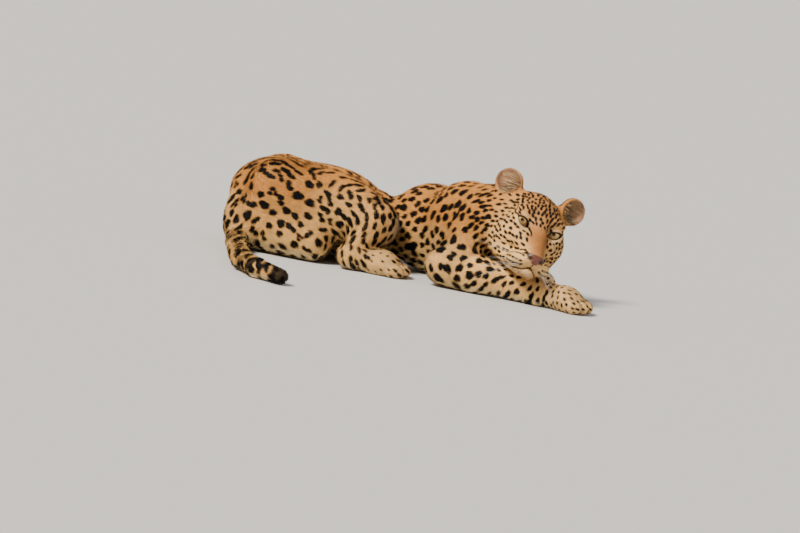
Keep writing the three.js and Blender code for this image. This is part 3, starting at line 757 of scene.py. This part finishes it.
def nose_pad(q):
    """Share of bare nose on the front of the muzzle: a rounded trapezoid, widest near its top."""
    f, side, u, _ = face_places(q)
    half_width = 5 + 13.5 * ramp(u, -77, -61) - 2.5 * ramp(u, -61, -55)
    across = fade(side - half_width, -1.2, 1.2)
    top = -55.5 - 0.09 * np.maximum(side - 6, 0)
    return across * fade(u - top, -1.2, 1.2) * ramp(u, -78, -75) * ramp(f, 68, 73)


def nostrils(q):
    """Share of the two dark nostrils: a slanted oval each, with a slit out to the edge of the nose."""
    f, side, u, _ = face_places(q)
    opening = fade(np.hypot((side - 11) / 4.6, (u + 66 + 0.35 * (side - 11)) / 2.8), 0.6, 1.15)
    slit = fade(np.abs(u + 68.5 + 0.2 * (side - 11)) / 1.5, 0.6, 1.3)
    slit = slit * ramp(side, 9, 12) * ramp(-side, -20, -17)
    return np.maximum(opening, 0.8 * slit) * ramp(f, 70, 75)


# Spots: centres at least a spacing apart, each of one to three blobs with wavy edges
def spot_spacing(p, q, near):
    """Space between spots: close on the face, wide on shoulder and haunch, closer down the legs."""
    f, _, u, _ = face_places(q)
    weight = np.exp(-np.stack([np.maximum(near[name], -12) for name in PARTS], 1) / 9)
    weight /= weight.sum(1, keepdims=True)
    head_gap = 7.6 + 1.6 * ramp(-u, -12, 24) + 2.2 * ramp(-f, 20, 90)
    neck_gap = 10.5 + 6.5 * ramp(near["head"], 10, 90)
    arm = np.minimum(size_of(p - np.array(RIGHT["paw"])), size_of(p - np.array(LEFT["paw"])))
    arm_gap = 9.5 + 13.5 * ramp(arm, 70, 200)
    top = ramp(p[:, 2], 150, 190) * ramp(-p[:, 0], 60, 140)
    foot_gap = 13 + 2 * ramp(p[:, 2], 48, 90) + 7 * ramp(-p[:, 0], 110, 240) * (1 - 0.7 * top)
    trunk_gap = 17 + 4 * ramp(-p[:, 0], 150, 260) - 3 * ramp(-p[:, 0], 20, 90) - 3.5 * top
    gaps = [head_gap, neck_gap, trunk_gap, arm_gap, arm_gap, foot_gap, foot_gap, np.full(len(p), 20.0)]
    return rows_dot(weight, np.stack(gaps, 1))


def bare_places(p, q, near):
    """Where no spots grow: bridge of the nose, round the eyes, muzzle, chin, ears, soles and belly."""
    f, side, u, a = face_places(q)
    on_head = near["head"] < 2
    bridge = (side < 21) & (u < 3 - 0.35 * side) & (f > 16)
    eye = (eye_lens(a, u) < 5.5) & (f > -8)
    under_eye = (np.abs(a) < 17) & (u < 0) & (u > -17 + 0.45 * a) & (f > 0)
    over_eye = (np.abs(a + 3) < 13) & (u > 6) & (u < 20 + 0.3 * a) & (f > 0)
    muzzle = (f > 34) & (u < -62)
    chin = (u < -88) & (f > 0)
    in_ears = (ear(q, "left") < 4) | (ear(q, "right") < 4)
    loose = flank_fold(p) < 0.6
    on_face = on_head & (bridge | eye | under_eye | over_eye | muzzle | chin)
    return on_face | in_ears | loose | (p[:, 2] < 3)


def spread_centres(points, gaps, allowed):
    """Random points kept in turn when no kept one is nearer than the spacing there."""
    order = chance.permutation(np.flatnonzero(allowed))[:SPOT_TRIES]
    kept = np.zeros(len(order), int)
    count = 0
    for i in order:
        spots = points[kept[:count]]
        if count == 0 or (size_of(spots - points[i]) > gaps[i]).all():
            kept[count] = i
            count += 1
    return kept[:count]


skin_gap = spot_spacing(skin_points, skin_q, skin_near)
no_spots = bare_places(skin_points, skin_q, skin_near)

corner = skin_points[skin_faces]
face_area = size_of(np.cross(corner[:, 2] - corner[:, 0], corner[:, 3] - corner[:, 1])) / 2
point_area = np.bincount(skin_faces.ravel(), np.repeat(face_area / 4, 4), len(skin_points))
likely = point_area / skin_gap**2 * ~no_spots
chosen = chance.choice(len(skin_points), SPOT_TRIES, replace=False, p=likely / likely.sum())
allowed = np.zeros(len(skin_points), bool)
allowed[chosen] = True
centres = spread_centres(skin_points, skin_gap, allowed)


class Spots:
    """Flat ovals on the skin: centre, lie, normal, half length, half width and the waves of the edge."""

    def __init__(self):
        """Starts without any rows."""
        self.rows = []

    def add(self, at, lie, normal, long_, wide, black=1.0, wavy=1.0):
        """Adds rows of spots; the edge waves are drawn at random for each, their size by `wavy`."""
        waves = chance.uniform(0, 2 * math.pi, (len(at), 3))
        flat = np.column_stack([long_, wide, np.full(len(at), black), np.broadcast_to(wavy, len(at))])
        self.rows.append(np.column_stack([at, lie, normal, flat, waves]))

    def cover(self, points):
        """Black and tan cover at each point: 1 inside a spot whose edge is r = 1 + waves of 2, 3, 5."""
        order = np.argsort(points[:, 0])
        sorted_x = points[order, 0]
        black = np.zeros(len(points))
        tan = np.zeros(len(points))
        for row in np.concatenate(self.rows):
            at, lie, normal = row[0:3], row[3:6], row[6:9]
            long_, wide, kind, wavy, w2, w3, w5 = row[9:]
            reach = 1.45 * max(long_, wide)
            low, high = np.searchsorted(sorted_x, [at[0] - reach, at[0] + reach])
            index = order[low:high]
            gap = points[index] - at
            beside = (np.abs(gap[:, 1]) < reach) & (np.abs(gap[:, 2]) < reach)
            index, gap = index[beside], gap[beside]
            x, y = gap @ lie / long_, gap @ np.cross(normal, lie) / wide
            z = gap @ normal / (1.3 * max(long_, wide))
            around = np.arctan2(y, x)
            waves = 0.13 * np.sin(2 * around + w2) + 0.12 * np.sin(3 * around + w3)
            waves = waves + 0.08 * np.sin(5 * around + w5)
            soft_edge = 0.9 / min(long_, wide)
            inside = fade(np.sqrt(x * x + y * y + z * z) - 1 - wavy * waves, -soft_edge, soft_edge)
            target = black if kind > 0 else tan
            target[index] = np.maximum(target[index], inside)
        return black, tan


spots = Spots()
at, lie, normal = skin_points[centres], skin_flow[centres], skin_normals[centres]
gap, up = skin_gap[centres], skin_q[centres, 2]
across = np.cross(normal, lie)
near_head = skin_near["head"][centres]
on_face = near_head < 3
on_foot = (skin_depth[centres] < 3.6) & ~on_face
on_arm = (skin_near["foreleg_right"][centres] < -3) | (skin_near["foreleg_left"][centres] < -3)
small = on_foot | on_face
size = gap * chance.uniform(0.85, 1.15, len(centres))
hind = (at[:, 0] < -20) & (skin_near["tail"][centres] > 5)
pairs = np.where(hind, 0.45, 0.12)
draw = chance.random(len(centres))
count = 1 + (draw < pairs) + (draw < 0.25 * pairs)
count[small | (gap < 17) | (normal[:, 2] > 0.6)] = 1
upper = ramp(normal[:, 2], 0.45, 0.85) * ~small * ramp(-at[:, 0], 60, 160)
first_angle = chance.uniform(0, 2 * math.pi, len(centres))
for blob in range(3):
    use = count > blob
    ring = np.choose(count - 1, [0, 0.27, 0.3]) * size
    angle = first_angle + blob * 2 * math.pi / np.maximum(count, 1)
    off = (ring * np.cos(angle) * 1.15)[:, None] * lie + (ring * np.sin(angle) * 0.9)[:, None] * across
    half = np.choose(count - 1, [0.44, 0.32, 0.27]) * size * chance.uniform(0.88, 1.12, len(centres))
    half = np.where(on_foot, np.where(hind, 0.22, 0.36) * gap, half)
    half = np.where(on_face, (0.46 + 0.07 * ramp(up, 0, 15)) * gap, half)
    half = np.where((~hind | (gap < 17)) & ~small, 1.12 * half, half)
    stretch = np.where(small, 1.3, np.where(on_arm, 1.05, 1.1)) + 0.45 * upper
    stretch = stretch + 0.3 * (gap < 15.5) * ~small
    stretch = stretch * chance.uniform(0.9, 1.2, len(centres))
    wide = half / stretch**0.7
    spots.add((at + off)[use], lie[use], normal[use], (half * stretch)[use], wide[use], 1, 0.65)
use = count == 3
spots.add(at[use], lie[use], normal[use], 0.36 * size[use], 0.32 * size[use], -1)
print("spots", len(centres), "skin", len(skin_points), len(skin_faces))


def on_skin(q):
    """Head coordinates drawn onto the skin along the slope of its field, with the normals there."""
    p = from_head(q)
    for _ in range(6):
        d, rate = slope(skin, p)
        p = p - (d / np.maximum(rows_dot(rate, rate), 0.3))[:, None] * rate
    return p, unit(slope(skin, p)[1])


# Rows of dark dashes on the pads that the whiskers grow from
PAD_ROWS = [-69.5, -76.5, -83.5, -89.5]
pad_q = np.array([
    [73 - 6.6 * j, side * (22 + 5.6 * j + 1.5 * (i % 2)), height - 0.5 * j]
    for i, height in enumerate(PAD_ROWS) for j in range(5 - (i == 3)) for side in (1, -1)
], float)
pad_at, pad_normal = on_skin(pad_q)
pad_way = np.array([-0.8, 0, -0.06]) + np.outer(np.sign(pad_q[:, 1]), [0, 0.6, 0])
pad_lie = along_skin(pad_way @ HEAD, pad_normal)
spots.add(pad_at, pad_lie, pad_normal, np.full(len(pad_at), 5.2), np.full(len(pad_at), 2.3))


# Fine dark specks at random in a box under the chin: forward, aside and up on the head
CHIN_BOX = ((30, 74), (-26, 26), (-108, -97))
chin_q = np.column_stack([chance.uniform(low, high, CHIN_SPECKS) for low, high in CHIN_BOX])
chin_at, chin_normal = on_skin(chin_q)
chin_lie = unit(np.cross(chin_normal, HEAD[1]))
chin_long, chin_wide = chance.uniform(1.0, 1.9, CHIN_SPECKS), chance.uniform(0.7, 1.1, CHIN_SPECKS)
spots.add(chin_at, chin_lie, chin_normal, chin_long, chin_wide)


# Tail: broken bands across, closer and darker to the tip
def tail_share(p):
    """How far along the tail a point is, in millimetres, from the nearest of its links."""
    best, along = np.full(len(p), np.inf), np.zeros(len(p))
    run = 0.0
    for a, b in zip(TAIL[:-1], TAIL[1:], strict=True):
        a, b = np.array(a[:3], float), np.array(b[:3], float)
        t = np.clip((p - a) @ (b - a) / ((b - a) @ (b - a)), 0, 1)
        gap = size_of(p - a - t[:, None] * (b - a))
        along = np.where(gap < best, run + t * np.linalg.norm(b - a), along)
        best = np.minimum(best, gap)
        run += np.linalg.norm(b - a)
    return along, run


def markings(p, n, q, near_head, near_tail, ground=None):
    """Ground colour with tan and black spots over it, then the dark lines, the nose and tail bands."""
    colour = ground_colour(p, n, q, near_head, near_tail) if ground is None else ground
    black, tan = spots.cover(p)
    colour = mix(colour, ROSETTE, 0.55 * tan)
    colour = mix(colour, BLACK, black)
    on_tail = near_tail < 10
    if on_tail.any():
        along, run = tail_share(p[on_tail])
        bent = 2 * math.pi * along / BAND_SPACING + 0.9 * np.sin(p[on_tail, 0] / 9)
        wave = np.sin(bent + 0.7 * np.sin(p[on_tail, 2] / 8))
        band = ramp(wave, 0.05, 0.45) * ramp(along, 440, 540) * ramp(n[on_tail, 2], -0.75, -0.2)
        band = np.maximum(band, ramp(along, run - 26, run - 12))
        colour[on_tail] = mix(colour[on_tail], BLACK, 0.95 * band)
    colour = mix(colour, BLACK, dark_lines(q, near_head))
    pad = nose_pad(q) * fade(near_head, 1, 5)
    _, side, u, _ = face_places(q)
    pink = mix(NOSE_PINK, paint(58, 34, 27), np.maximum(ramp(side, 8, 17), 0.7 * ramp(u, -61, -56)))
    colour = mix(colour, pink, pad)
    return mix(colour, BLACK, 0.95 * nostrils(q) * fade(near_head, 1, 5))


skin_colour = markings(skin_points, skin_normals, skin_q, skin_near["head"], skin_near["tail"])
skin_f, skin_side, skin_u, skin_a = face_places(skin_q)
on_head = skin_near["head"] < 4
wet = np.maximum(nose_pad(skin_q), fade(eye_lens(skin_a, skin_u), 0, 2.2)) * on_head * (skin_f > -4)
skin_piece = mesh_piece("skin", skin_points, skin_faces)
set_colours(skin_piece, "markings", skin_colour)
set_values(skin_piece, "wet", wet)


# The coat: flat pointed tufts rooted on the skin, and where their points lie on the unwrapped map
TUFT = np.array([[1, 0, 3], [0, 2, 3], [2, 1, 3], [0, 1, 2]])  # top, two sides and root of one tuft
TUFT_PATCH = np.array([[-0.0015, -0.0012], [0.0015, -0.0012], [0, -0.0002], [0, 0.0015]])


def unwrap(faces_used):
    """An unwrap of some of the skin's faces into flat islands: a place for each corner of each face."""
    used, index = np.unique(skin_faces[faces_used], return_inverse=True)
    mesh = bpy.data.meshes.new("unwrap")
    mesh.from_pydata(skin_points[used].tolist(), [], index.reshape(-1, 4).tolist())
    patch = bpy.data.objects.new("unwrap", mesh)
    bpy.context.scene.collection.objects.link(patch)
    bpy.context.view_layer.objects.active = patch
    mesh.uv_layers.new(name="flat")
    bpy.ops.object.mode_set(mode="EDIT")
    bpy.ops.mesh.select_all(action="SELECT")
    bpy.ops.uv.smart_project(angle_limit=math.radians(60), island_margin=0.004)
    bpy.ops.object.mode_set(mode="OBJECT")
    flat = np.empty(len(mesh.loops) * 2, np.float32)
    mesh.uv_layers["flat"].uv.foreach_get("vector", flat)
    bpy.data.objects.remove(patch)
    bpy.data.meshes.remove(mesh)
    return flat.reshape(-1, 4, 2)


def blended(values, faces, weights):
    """Values of the faces' corners blended by the weights of each row."""
    return np.einsum("nk,nk...->n...", weights, values[faces])


# Which part of the body each face belongs to, and how thickly tufts stand there
names = list(PARTS)
nearest = np.argmin(np.stack([skin_near[name] for name in names], 1), 1)
face_part = nearest[skin_faces[:, 0]]
middle = corner.mean(1)
regions = {}
for i, name in enumerate(names):
    chosen_faces = face_part == i
    if name == "trunk":
        regions["trunk_right"] = chosen_faces & (middle[:, 1] < 0.28 * (60 - middle[:, 0]))
        regions["trunk_left"] = chosen_faces & ~regions["trunk_right"]
    else:
        regions[name] = chosen_faces

tuft_length = 1.4 + 1.05 * skin_depth
ragged = ramp(-skin_normals[:, 2], -0.1, 0.7) * ramp(skin_depth, 3, 4.6)
tuft_length += 5 * ragged
tuft_width = 0.5 + 0.2 * skin_depth
tuft_lift = 0.25 + 0.5 * skin_depth
in_cup = np.zeros(len(skin_q), bool)
locks = np.zeros(len(skin_q))
for name, form in EAR.items():
    e = in_ear(skin_q, name)
    here = (ear_hollow(e) < 2.5) & (ear(skin_q, name) < 4)
    outward = form["side"] * e[:, 0]
    rooted = here & ((outward < 2) | (e[:, 1] < 16)) & (e[:, 1] < 44)
    in_cup |= here
    locks[rooted] = 1
    way = np.array([form["side"] * 0.8, 0.5, 0.25]) @ EAR_AXES[name] @ HEAD
    skin_flow[rooted] = unit(way - (skin_normals[rooted] @ way)[:, None] * skin_normals[rooted])
tuft_length[in_cup] = 5
tuft_length[locks > 0] = 16
tuft_width[locks > 0] = 1.0
tuft_lift[locks > 0] = 4.5
off_lips = skin_u - mouth_height(skin_side)
on_chin = on_head & (skin_f > 5) & (skin_u < mouth_height(skin_side) - 3)
tuft_length[on_chin] = 5.5
tuft_width[on_chin] = 0.9
tuft_lift[on_chin] = 1.4
thick = 1 / (tuft_length * tuft_width)
bald = on_head & (eye_lens(skin_a, skin_u) < 1.6) & (skin_f > -4)
bald |= on_head & (nose_pad(skin_q) > 0.3)
bald |= on_head & (np.abs(off_lips) < 1.0) & (skin_f > 30) & (skin_side < 36)
bald |= skin_points[:, 2] < 2.5
thick[bald] = 0
thick[locks > 0] *= 1.6
face_thick = thick[skin_faces].mean(1) * (thick[skin_faces].min(1) > 0)
total = (face_thick * face_area).sum()
tufts = COAT_TUFTS


def grow_coat(name, chosen_faces):
    """Tufts on some faces. Roots are spread at random by area and thickness. Each tuft is a thin
    pointed blade of four faces: two root corners, one below the skin and a tip that lies along the
    coat, a little above the skin. The colour is that of the markings at the root and near the tip."""
    share = face_thick[chosen_faces] * face_area[chosen_faces]
    n = min(int(tufts * share.sum() / total), MOST_TUFTS)
    index = chance.choice(len(share), n, p=share / share.sum())
    faces = skin_faces[chosen_faces][index]
    s, t = chance.random((2, n))
    weights = np.stack([(1 - s) * (1 - t), s * (1 - t), s * t, (1 - s) * t], 1)
    root = blended(skin_points, faces, weights)
    normal = unit(blended(skin_normals, faces, weights))
    flow = blended(skin_flow, faces, weights)
    length = blended(tuft_length, faces, weights) * chance.uniform(0.75, 1.25, n)
    width = blended(tuft_width, faces, weights) * chance.uniform(0.75, 1.25, n)
    flow = along_skin(flow, normal)
    aside = np.cross(normal, flow)
    flow = unit(flow + (chance.normal(0, 0.17, n))[:, None] * aside)
    aside = np.cross(normal, flow)
    lift = blended(tuft_lift, faces, weights) * chance.uniform(0.5, 1.5, n)
    lock = blended(locks, faces, weights) > 0.5
    tip = root + flow * length[:, None] + normal * lift[:, None]
    outside = in_chunks(skin, tip)
    tip += normal * np.clip(lift - outside, -0.45 * length, 0.45 * length)[:, None]
    tip[:, 2] = np.maximum(tip[:, 2], 0.3)
    points = np.empty((n, 4, 3))
    points[:, 0] = root - aside * width[:, None] / 2 - normal * 0.25
    points[:, 1] = root + aside * width[:, None] / 2 - normal * 0.25
    points[:, 2] = root - normal * (0.3 + 0.3 * width)[:, None]
    points[:, 3] = tip
    points[:, :, 2] = np.maximum(points[:, :, 2], 0.2)
    corners = (np.arange(n)[:, None, None] * 4 + TUFT).reshape(-1, 3)
    piece = mesh_piece("coat_" + name, points.reshape(-1, 3), corners)
    head_q = to_head(root)
    near_head = blended(skin_near["head"], faces, weights)
    near_tail = blended(skin_near["tail"], faces, weights)
    ground = ground_colour(root, normal, head_q, near_head, near_tail)
    start, ahead = root + flow * (0.25 * length)[:, None], root + flow * (0.6 * length)[:, None]
    at_root = markings(start, normal, to_head(start), near_head, near_tail, ground.copy())
    at_tip = markings(ahead, normal, to_head(ahead), near_head, near_tail, ground)
    pale_lock = 0.85 * lock * (chance.random(n) < 0.45)
    at_root = mix(at_root, paint(120, 84, 56), pale_lock)
    at_tip = mix(at_tip, CREAM, pale_lock)
    tone = chance.normal(1, 0.15, n)[:, None]
    colours = np.empty((n, 4, 3))
    # Painted shade and painted light: each tuft's root corners are darkened to 0.75 for the shade deep in
    # the coat, and its tip is lightened to 1.12 as lit fur.
    colours[:, :3] = (at_root * tone * 0.75)[:, None]
    colours[:, 3] = at_tip * tone * 1.12
    set_colours(piece, "markings", np.clip(colours, 0, 1).reshape(-1, 3))
    shade = np.empty((n, 4, 3))
    shade[:, 0] = normal - 0.35 * aside
    shade[:, 1] = normal + 0.35 * aside
    shade[:, 2] = normal - 0.3 * flow
    shade[:, 3] = normal + 0.25 * flow
    set_normals(piece, shade.reshape(-1, 3))
    flat = unwrap(np.flatnonzero(chosen_faces))[index]
    place = np.clip(np.einsum("nk,nkc->nc", weights, flat), 0.002, 0.998)
    spread = (place[:, None, :] + TUFT_PATCH)[:, TUFT]
    piece.data.uv_layers.new(name="OFBake").uv.foreach_set("vector", spread.astype(np.float32).ravel())
    print("coat", name, n, "tufts")
    return piece


coat_pieces = [grow_coat(name, chosen_faces) for name, chosen_faces in regions.items()]


# Eyes: a round ball with a domed clear front and an iris of fine fibres
def eyeball(name, side):
    """A ball on a grid of angle from the pupil and turn about it. The front 40 degrees bulge by up to
    0.9 mm. The iris runs from brown at the pupil to pale amber with fine fibres, and is ringed darkly."""
    rings, turns = 72, 120
    polar = (np.linspace(0, 1, rings) ** 1.25) * math.pi
    around = np.arange(turns) * 2 * math.pi / turns
    a, b = np.meshgrid(polar[1:-1], around, indexing="ij")
    bulge = 0.9 * fade(a, 0, math.radians(40))
    radius = EYE_RADIUS + bulge - 0.3
    gaze = unit([1, -0.22 - side * 0.03, -0.03])
    left = unit(np.cross([0, 0, 1], gaze))
    top = np.cross(gaze, left)
    ball = np.stack([np.cos(a), np.sin(a) * np.cos(b), np.sin(a) * np.sin(b)], -1) * radius[..., None]
    ball = np.concatenate([[[EYE_RADIUS + 0.6, 0, 0]], ball.reshape(-1, 3), [[-EYE_RADIUS + 0.3, 0, 0]]])
    q = ball @ np.array([gaze, left, top]) + [-2, side * EYE_SPACING / 2, 0]
    ring = 1 + np.arange(rings - 2)[:, None] * turns + np.arange(turns)
    ahead = np.roll(ring, -1, axis=1)
    quads = np.stack([ring[:-1], ring[1:], ahead[1:], ahead[:-1]], -1).reshape(-1, 4)
    caps = [np.stack([np.zeros(turns, int), ring[0], ahead[0]], 1)]
    caps.append(np.stack([ahead[-1], ring[-1], np.full(turns, len(q) - 1)], 1))
    triangles = np.concatenate([quads[:, [0, 1, 2]], quads[:, [0, 2, 3]], *caps])
    piece = mesh_piece(name, from_head(q), triangles)
    degrees = np.degrees(np.concatenate([[0], a.ravel(), [math.pi]]))
    about = np.concatenate([[0], b.ravel(), [0]])
    waves = ((17, 0.3), (29, 1.9), (43, 4.1), (61, 2.2))
    fibres = sum(np.sin(k * about + w + degrees * 0.05) for k, w in waves) / len(waves)
    iris = mix(paint(172, 124, 62), paint(216, 182, 116), ramp(degrees, 12, 30))
    iris = iris * (1 + 0.16 * fibres * ramp(degrees, 12, 18))[:, None]
    iris = mix(iris, paint(48, 38, 24), ramp(degrees, 46, 51))
    white = mix(paint(92, 68, 50), paint(120, 92, 72), ramp(degrees, 58, 74))
    colour = mix(iris, white, ramp(degrees, 51, 54))
    colour = mix(paint(7, 6, 6), colour, ramp(degrees, 12, 14))
    set_colours(piece, "markings", np.clip(colour, 0, 1))
    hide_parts(name)
    return piece


eyes = [eyeball("eye_left", 1), eyeball("eye_right", -1)]


# Whiskers
def whiskers(name, roots, ways, lengths, droop, thickness):
    """Thin tapered tubes, five-sided: each runs straight out along its way and droops by the square."""
    n, steps, sides = len(roots), 10, 5
    t = np.linspace(0, 1, steps)[None, :, None]
    line = roots[:, None] + ways[:, None] * (lengths[:, None, None] * t)
    line = line + droop[:, None] * (t**2 * lengths[:, None, None])
    way = np.gradient(line, axis=1)
    way = way / np.linalg.norm(way, axis=2, keepdims=True)
    aside = np.cross(way, [0.1, 0.2, 1.0])
    aside /= np.linalg.norm(aside, axis=2, keepdims=True)
    over = np.cross(way, aside)
    radius = thickness * (1 - 0.85 * t)
    turns = np.arange(sides) * 2 * math.pi / sides
    tube = line[:, :, None] + radius[..., None] * (
        aside[:, :, None] * np.cos(turns)[:, None] + over[:, :, None] * np.sin(turns)[:, None]
    )
    ends = np.stack([line[:, 0], line[:, -1]], 1)
    points = np.concatenate([tube.reshape(n, -1, 3), ends], 1)
    ring = np.arange(steps)[:, None] * sides + np.arange(sides)
    ahead = np.roll(ring, -1, axis=1)
    a, b, c, d = ring[:-1], ring[1:], ahead[1:], ahead[:-1]
    walls = np.concatenate([np.stack([a, d, c], -1).reshape(-1, 3), np.stack([a, c, b], -1).reshape(-1, 3)])
    first, last = np.full(sides, steps * sides), np.full(sides, steps * sides + 1)
    caps = [np.stack([first, ahead[0], ring[0]], 1), np.stack([last, ring[-1], ahead[-1]], 1)]
    one = np.concatenate([walls, *caps])
    faces = (np.arange(n)[:, None, None] * points.shape[1] + one).reshape(-1, 3)
    return mesh_piece(name, points.reshape(-1, 3), faces)


whisker_q = pad_q[chance.permutation(len(pad_q))[:WHISKER_COUNT]]
whisker_root, whisker_normal = on_skin(whisker_q)
side = np.sign(whisker_q[:, 1])
fan = np.column_stack([
    0.1 + 0.014 * (whisker_q[:, 0] - 50), side * 1.0, -0.22 + 0.022 * (whisker_q[:, 2] + 78),
]) + chance.normal(0, 0.06, (len(whisker_q), 3))
whisker_way = unit(unit(fan) @ HEAD + 0.2 * whisker_normal)
lengths = chance.uniform(55, 95, len(whisker_q)) * np.where(side > 0, 0.75, 1)
droop = np.tile(np.array([-0.34, 0, -0.12]) @ HEAD, (len(whisker_q), 1))
whisker_piece = whiskers("whiskers", whisker_root - whisker_normal * 1.0, whisker_way, lengths, droop, 0.24)


# Materials
def add(tree, kind, **sockets):
    """A node with some of its input sockets set by name."""
    node = tree.nodes.new(kind)
    for key, value in sockets.items():
        node.inputs[key.replace("_", " ")].default_value = value
    return node


def grain_group():
    """Shader group: multiplies a colour by slow and fine noise, and gives a fine height."""
    tree = bpy.data.node_groups.new("hair_grain", "ShaderNodeTree")
    given = (("Colour", "NodeSocketColor", (1, 1, 1, 1)), ("Amount", "NodeSocketFloat", 0.2))
    for name, kind, value in given:
        socket = tree.interface.new_socket(name, in_out="INPUT", socket_type=kind)
        socket.default_value = value
    for name, kind in (("Colour", "NodeSocketColor"), ("Height", "NodeSocketFloat")):
        tree.interface.new_socket(name, in_out="OUTPUT", socket_type=kind)
    given, out = tree.nodes.new("NodeGroupInput"), tree.nodes.new("NodeGroupOutput")
    place = tree.nodes.new("ShaderNodeTexCoord")
    slow = add(tree, "ShaderNodeTexNoise", Scale=38.0, Detail=3.0)
    fine = add(tree, "ShaderNodeTexNoise", Scale=900.0, Detail=2.0)
    for noise in (slow, fine):
        tree.links.new(place.outputs["Object"], noise.inputs["Vector"])
    both = add(tree, "ShaderNodeMath")
    both.operation = "ADD"
    tree.links.new(slow.outputs["Fac"], both.inputs[0])
    tree.links.new(fine.outputs["Fac"], both.inputs[1])
    centred = add(tree, "ShaderNodeMath")
    centred.operation = "SUBTRACT"
    centred.inputs[1].default_value = 1.0
    tree.links.new(both.outputs[0], centred.inputs[0])
    scaled = add(tree, "ShaderNodeMath")
    scaled.operation = "MULTIPLY_ADD"
    scaled.inputs[2].default_value = 1.0
    tree.links.new(centred.outputs[0], scaled.inputs[0])
    tree.links.new(given.outputs["Amount"], scaled.inputs[1])
    tinted = tree.nodes.new("ShaderNodeVectorMath")
    tinted.operation = "SCALE"
    tree.links.new(given.outputs["Colour"], tinted.inputs[0])
    tree.links.new(scaled.outputs[0], tinted.inputs["Scale"])
    tree.links.new(tinted.outputs[0], out.inputs["Colour"])
    tree.links.new(fine.outputs["Fac"], out.inputs["Height"])
    return tree


GRAIN = grain_group()


def finish(name, roughness, amount, **sockets):
    """A material whose colour is the piece's markings with grain, and its own roughness."""
    material = bpy.data.materials.new(name)
    material.use_nodes = True
    tree = material.node_tree
    shader = tree.nodes["Principled BSDF"]
    shader.inputs["Roughness"].default_value = roughness
    for key, value in sockets.items():
        shader.inputs[key.replace("_", " ")].default_value = value
    source = tree.nodes.new("ShaderNodeAttribute")
    source.attribute_name = "markings"
    grain = tree.nodes.new("ShaderNodeGroup")
    grain.node_tree = GRAIN
    grain.inputs["Amount"].default_value = amount
    tree.links.new(source.outputs["Color"], grain.inputs["Colour"])
    tree.links.new(grain.outputs["Colour"], shader.inputs["Base Color"])
    return material, tree, shader, grain


fur, *_ = finish("fur", 0.65, 0.35, Specular_IOR_Level=0.1)
eye_finish, *_ = finish("eye", 0.08, 0.08, Specular_IOR_Level=0.3, Coat_Weight=0.35, Coat_Roughness=0.03)


def hide_finish():
    """Bare skin: the fine grain as a bump, and rough when dry but glossy where it is wet."""
    material, tree, shader, grain = finish("hide", 0.75, 0.3, Specular_IOR_Level=0.35)
    bump = add(tree, "ShaderNodeBump", Strength=0.35, Distance=0.0005)
    tree.links.new(grain.outputs["Height"], bump.inputs["Height"])
    tree.links.new(bump.outputs["Normal"], shader.inputs["Normal"])
    moist = tree.nodes.new("ShaderNodeAttribute")
    moist.attribute_name = "wet"
    gloss = add(tree, "ShaderNodeMapRange", To_Min=0.78, To_Max=0.3)
    tree.links.new(moist.outputs["Fac"], gloss.inputs["Value"])
    tree.links.new(gloss.outputs["Result"], shader.inputs["Roughness"])
    return material


def bristle_finish():
    """Whisker hair: off-white, cloudy between two tones by slow noise."""
    material = bpy.data.materials.new("bristle")
    material.use_nodes = True
    tree = material.node_tree
    shader = tree.nodes["Principled BSDF"]
    shader.inputs["Roughness"].default_value = 0.4
    place = tree.nodes.new("ShaderNodeTexCoord")
    noise = add(tree, "ShaderNodeTexNoise", Scale=60.0)
    tree.links.new(place.outputs["Object"], noise.inputs["Vector"])
    blend = add(tree, "ShaderNodeMix")
    blend.data_type = "RGBA"
    blend.inputs["A"].default_value = (0.72, 0.68, 0.6, 1)
    blend.inputs["B"].default_value = (0.9, 0.88, 0.84, 1)
    tree.links.new(noise.outputs["Fac"], blend.inputs["Factor"])
    tree.links.new(blend.outputs["Result"], shader.inputs["Base Color"])
    return material


skin_piece.data.materials.append(hide_finish())
for piece in coat_pieces:
    piece.data.materials.append(fur)
for piece in eyes:
    piece.data.materials.append(eye_finish)
whisker_piece.data.materials.append(bristle_finish())
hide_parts(*[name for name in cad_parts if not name.startswith("eye")])


# Floor and lights
def floor():
    """A flat pale square, 160 m wide, level with the lowest point."""
    mesh = bpy.data.meshes.new("floor")
    mesh.from_pydata([(-80, -80, 0), (80, -80, 0), (80, 80, 0), (-80, 80, 0)], [], [(0, 1, 2, 3)])
    piece = bpy.data.objects.new("floor", mesh)
    bpy.context.scene.collection.objects.link(piece)
    material = bpy.data.materials.new("pale_floor")
    material.use_nodes = True
    shader = material.node_tree.nodes["Principled BSDF"]
    shader.inputs["Base Color"].default_value = (0.56, 0.55, 0.53, 1)
    shader.inputs["Roughness"].default_value = 0.9
    mesh.materials.append(material)


def soft_sun(name, way, strength, spread, colour):
    """A distant light that shines along a direction, its edge softened over a spread in degrees."""
    light = bpy.data.lights.new(name, "SUN")
    light.energy, light.angle, light.color = strength, math.radians(spread), colour
    lamp = bpy.data.objects.new(name, light)
    lamp.rotation_euler = Vector(way).to_track_quat("-Z", "Y").to_euler()
    bpy.context.scene.collection.objects.link(lamp)


floor()
soft_sun("key", (0.62, 0.62, -0.95), 5.9, 16, (1.0, 0.94, 0.85))
soft_sun("fill", (-0.8, 0.55, -0.35), 0.45, 60, (0.95, 0.97, 1.0))
world = bpy.data.worlds.new("studio")
bpy.context.scene.world = world
world.use_nodes = True
world.node_tree.nodes["Background"].inputs["Color"].default_value = (0.97, 0.97, 1.0, 1)
world.node_tree.nodes["Background"].inputs["Strength"].default_value = 0.5
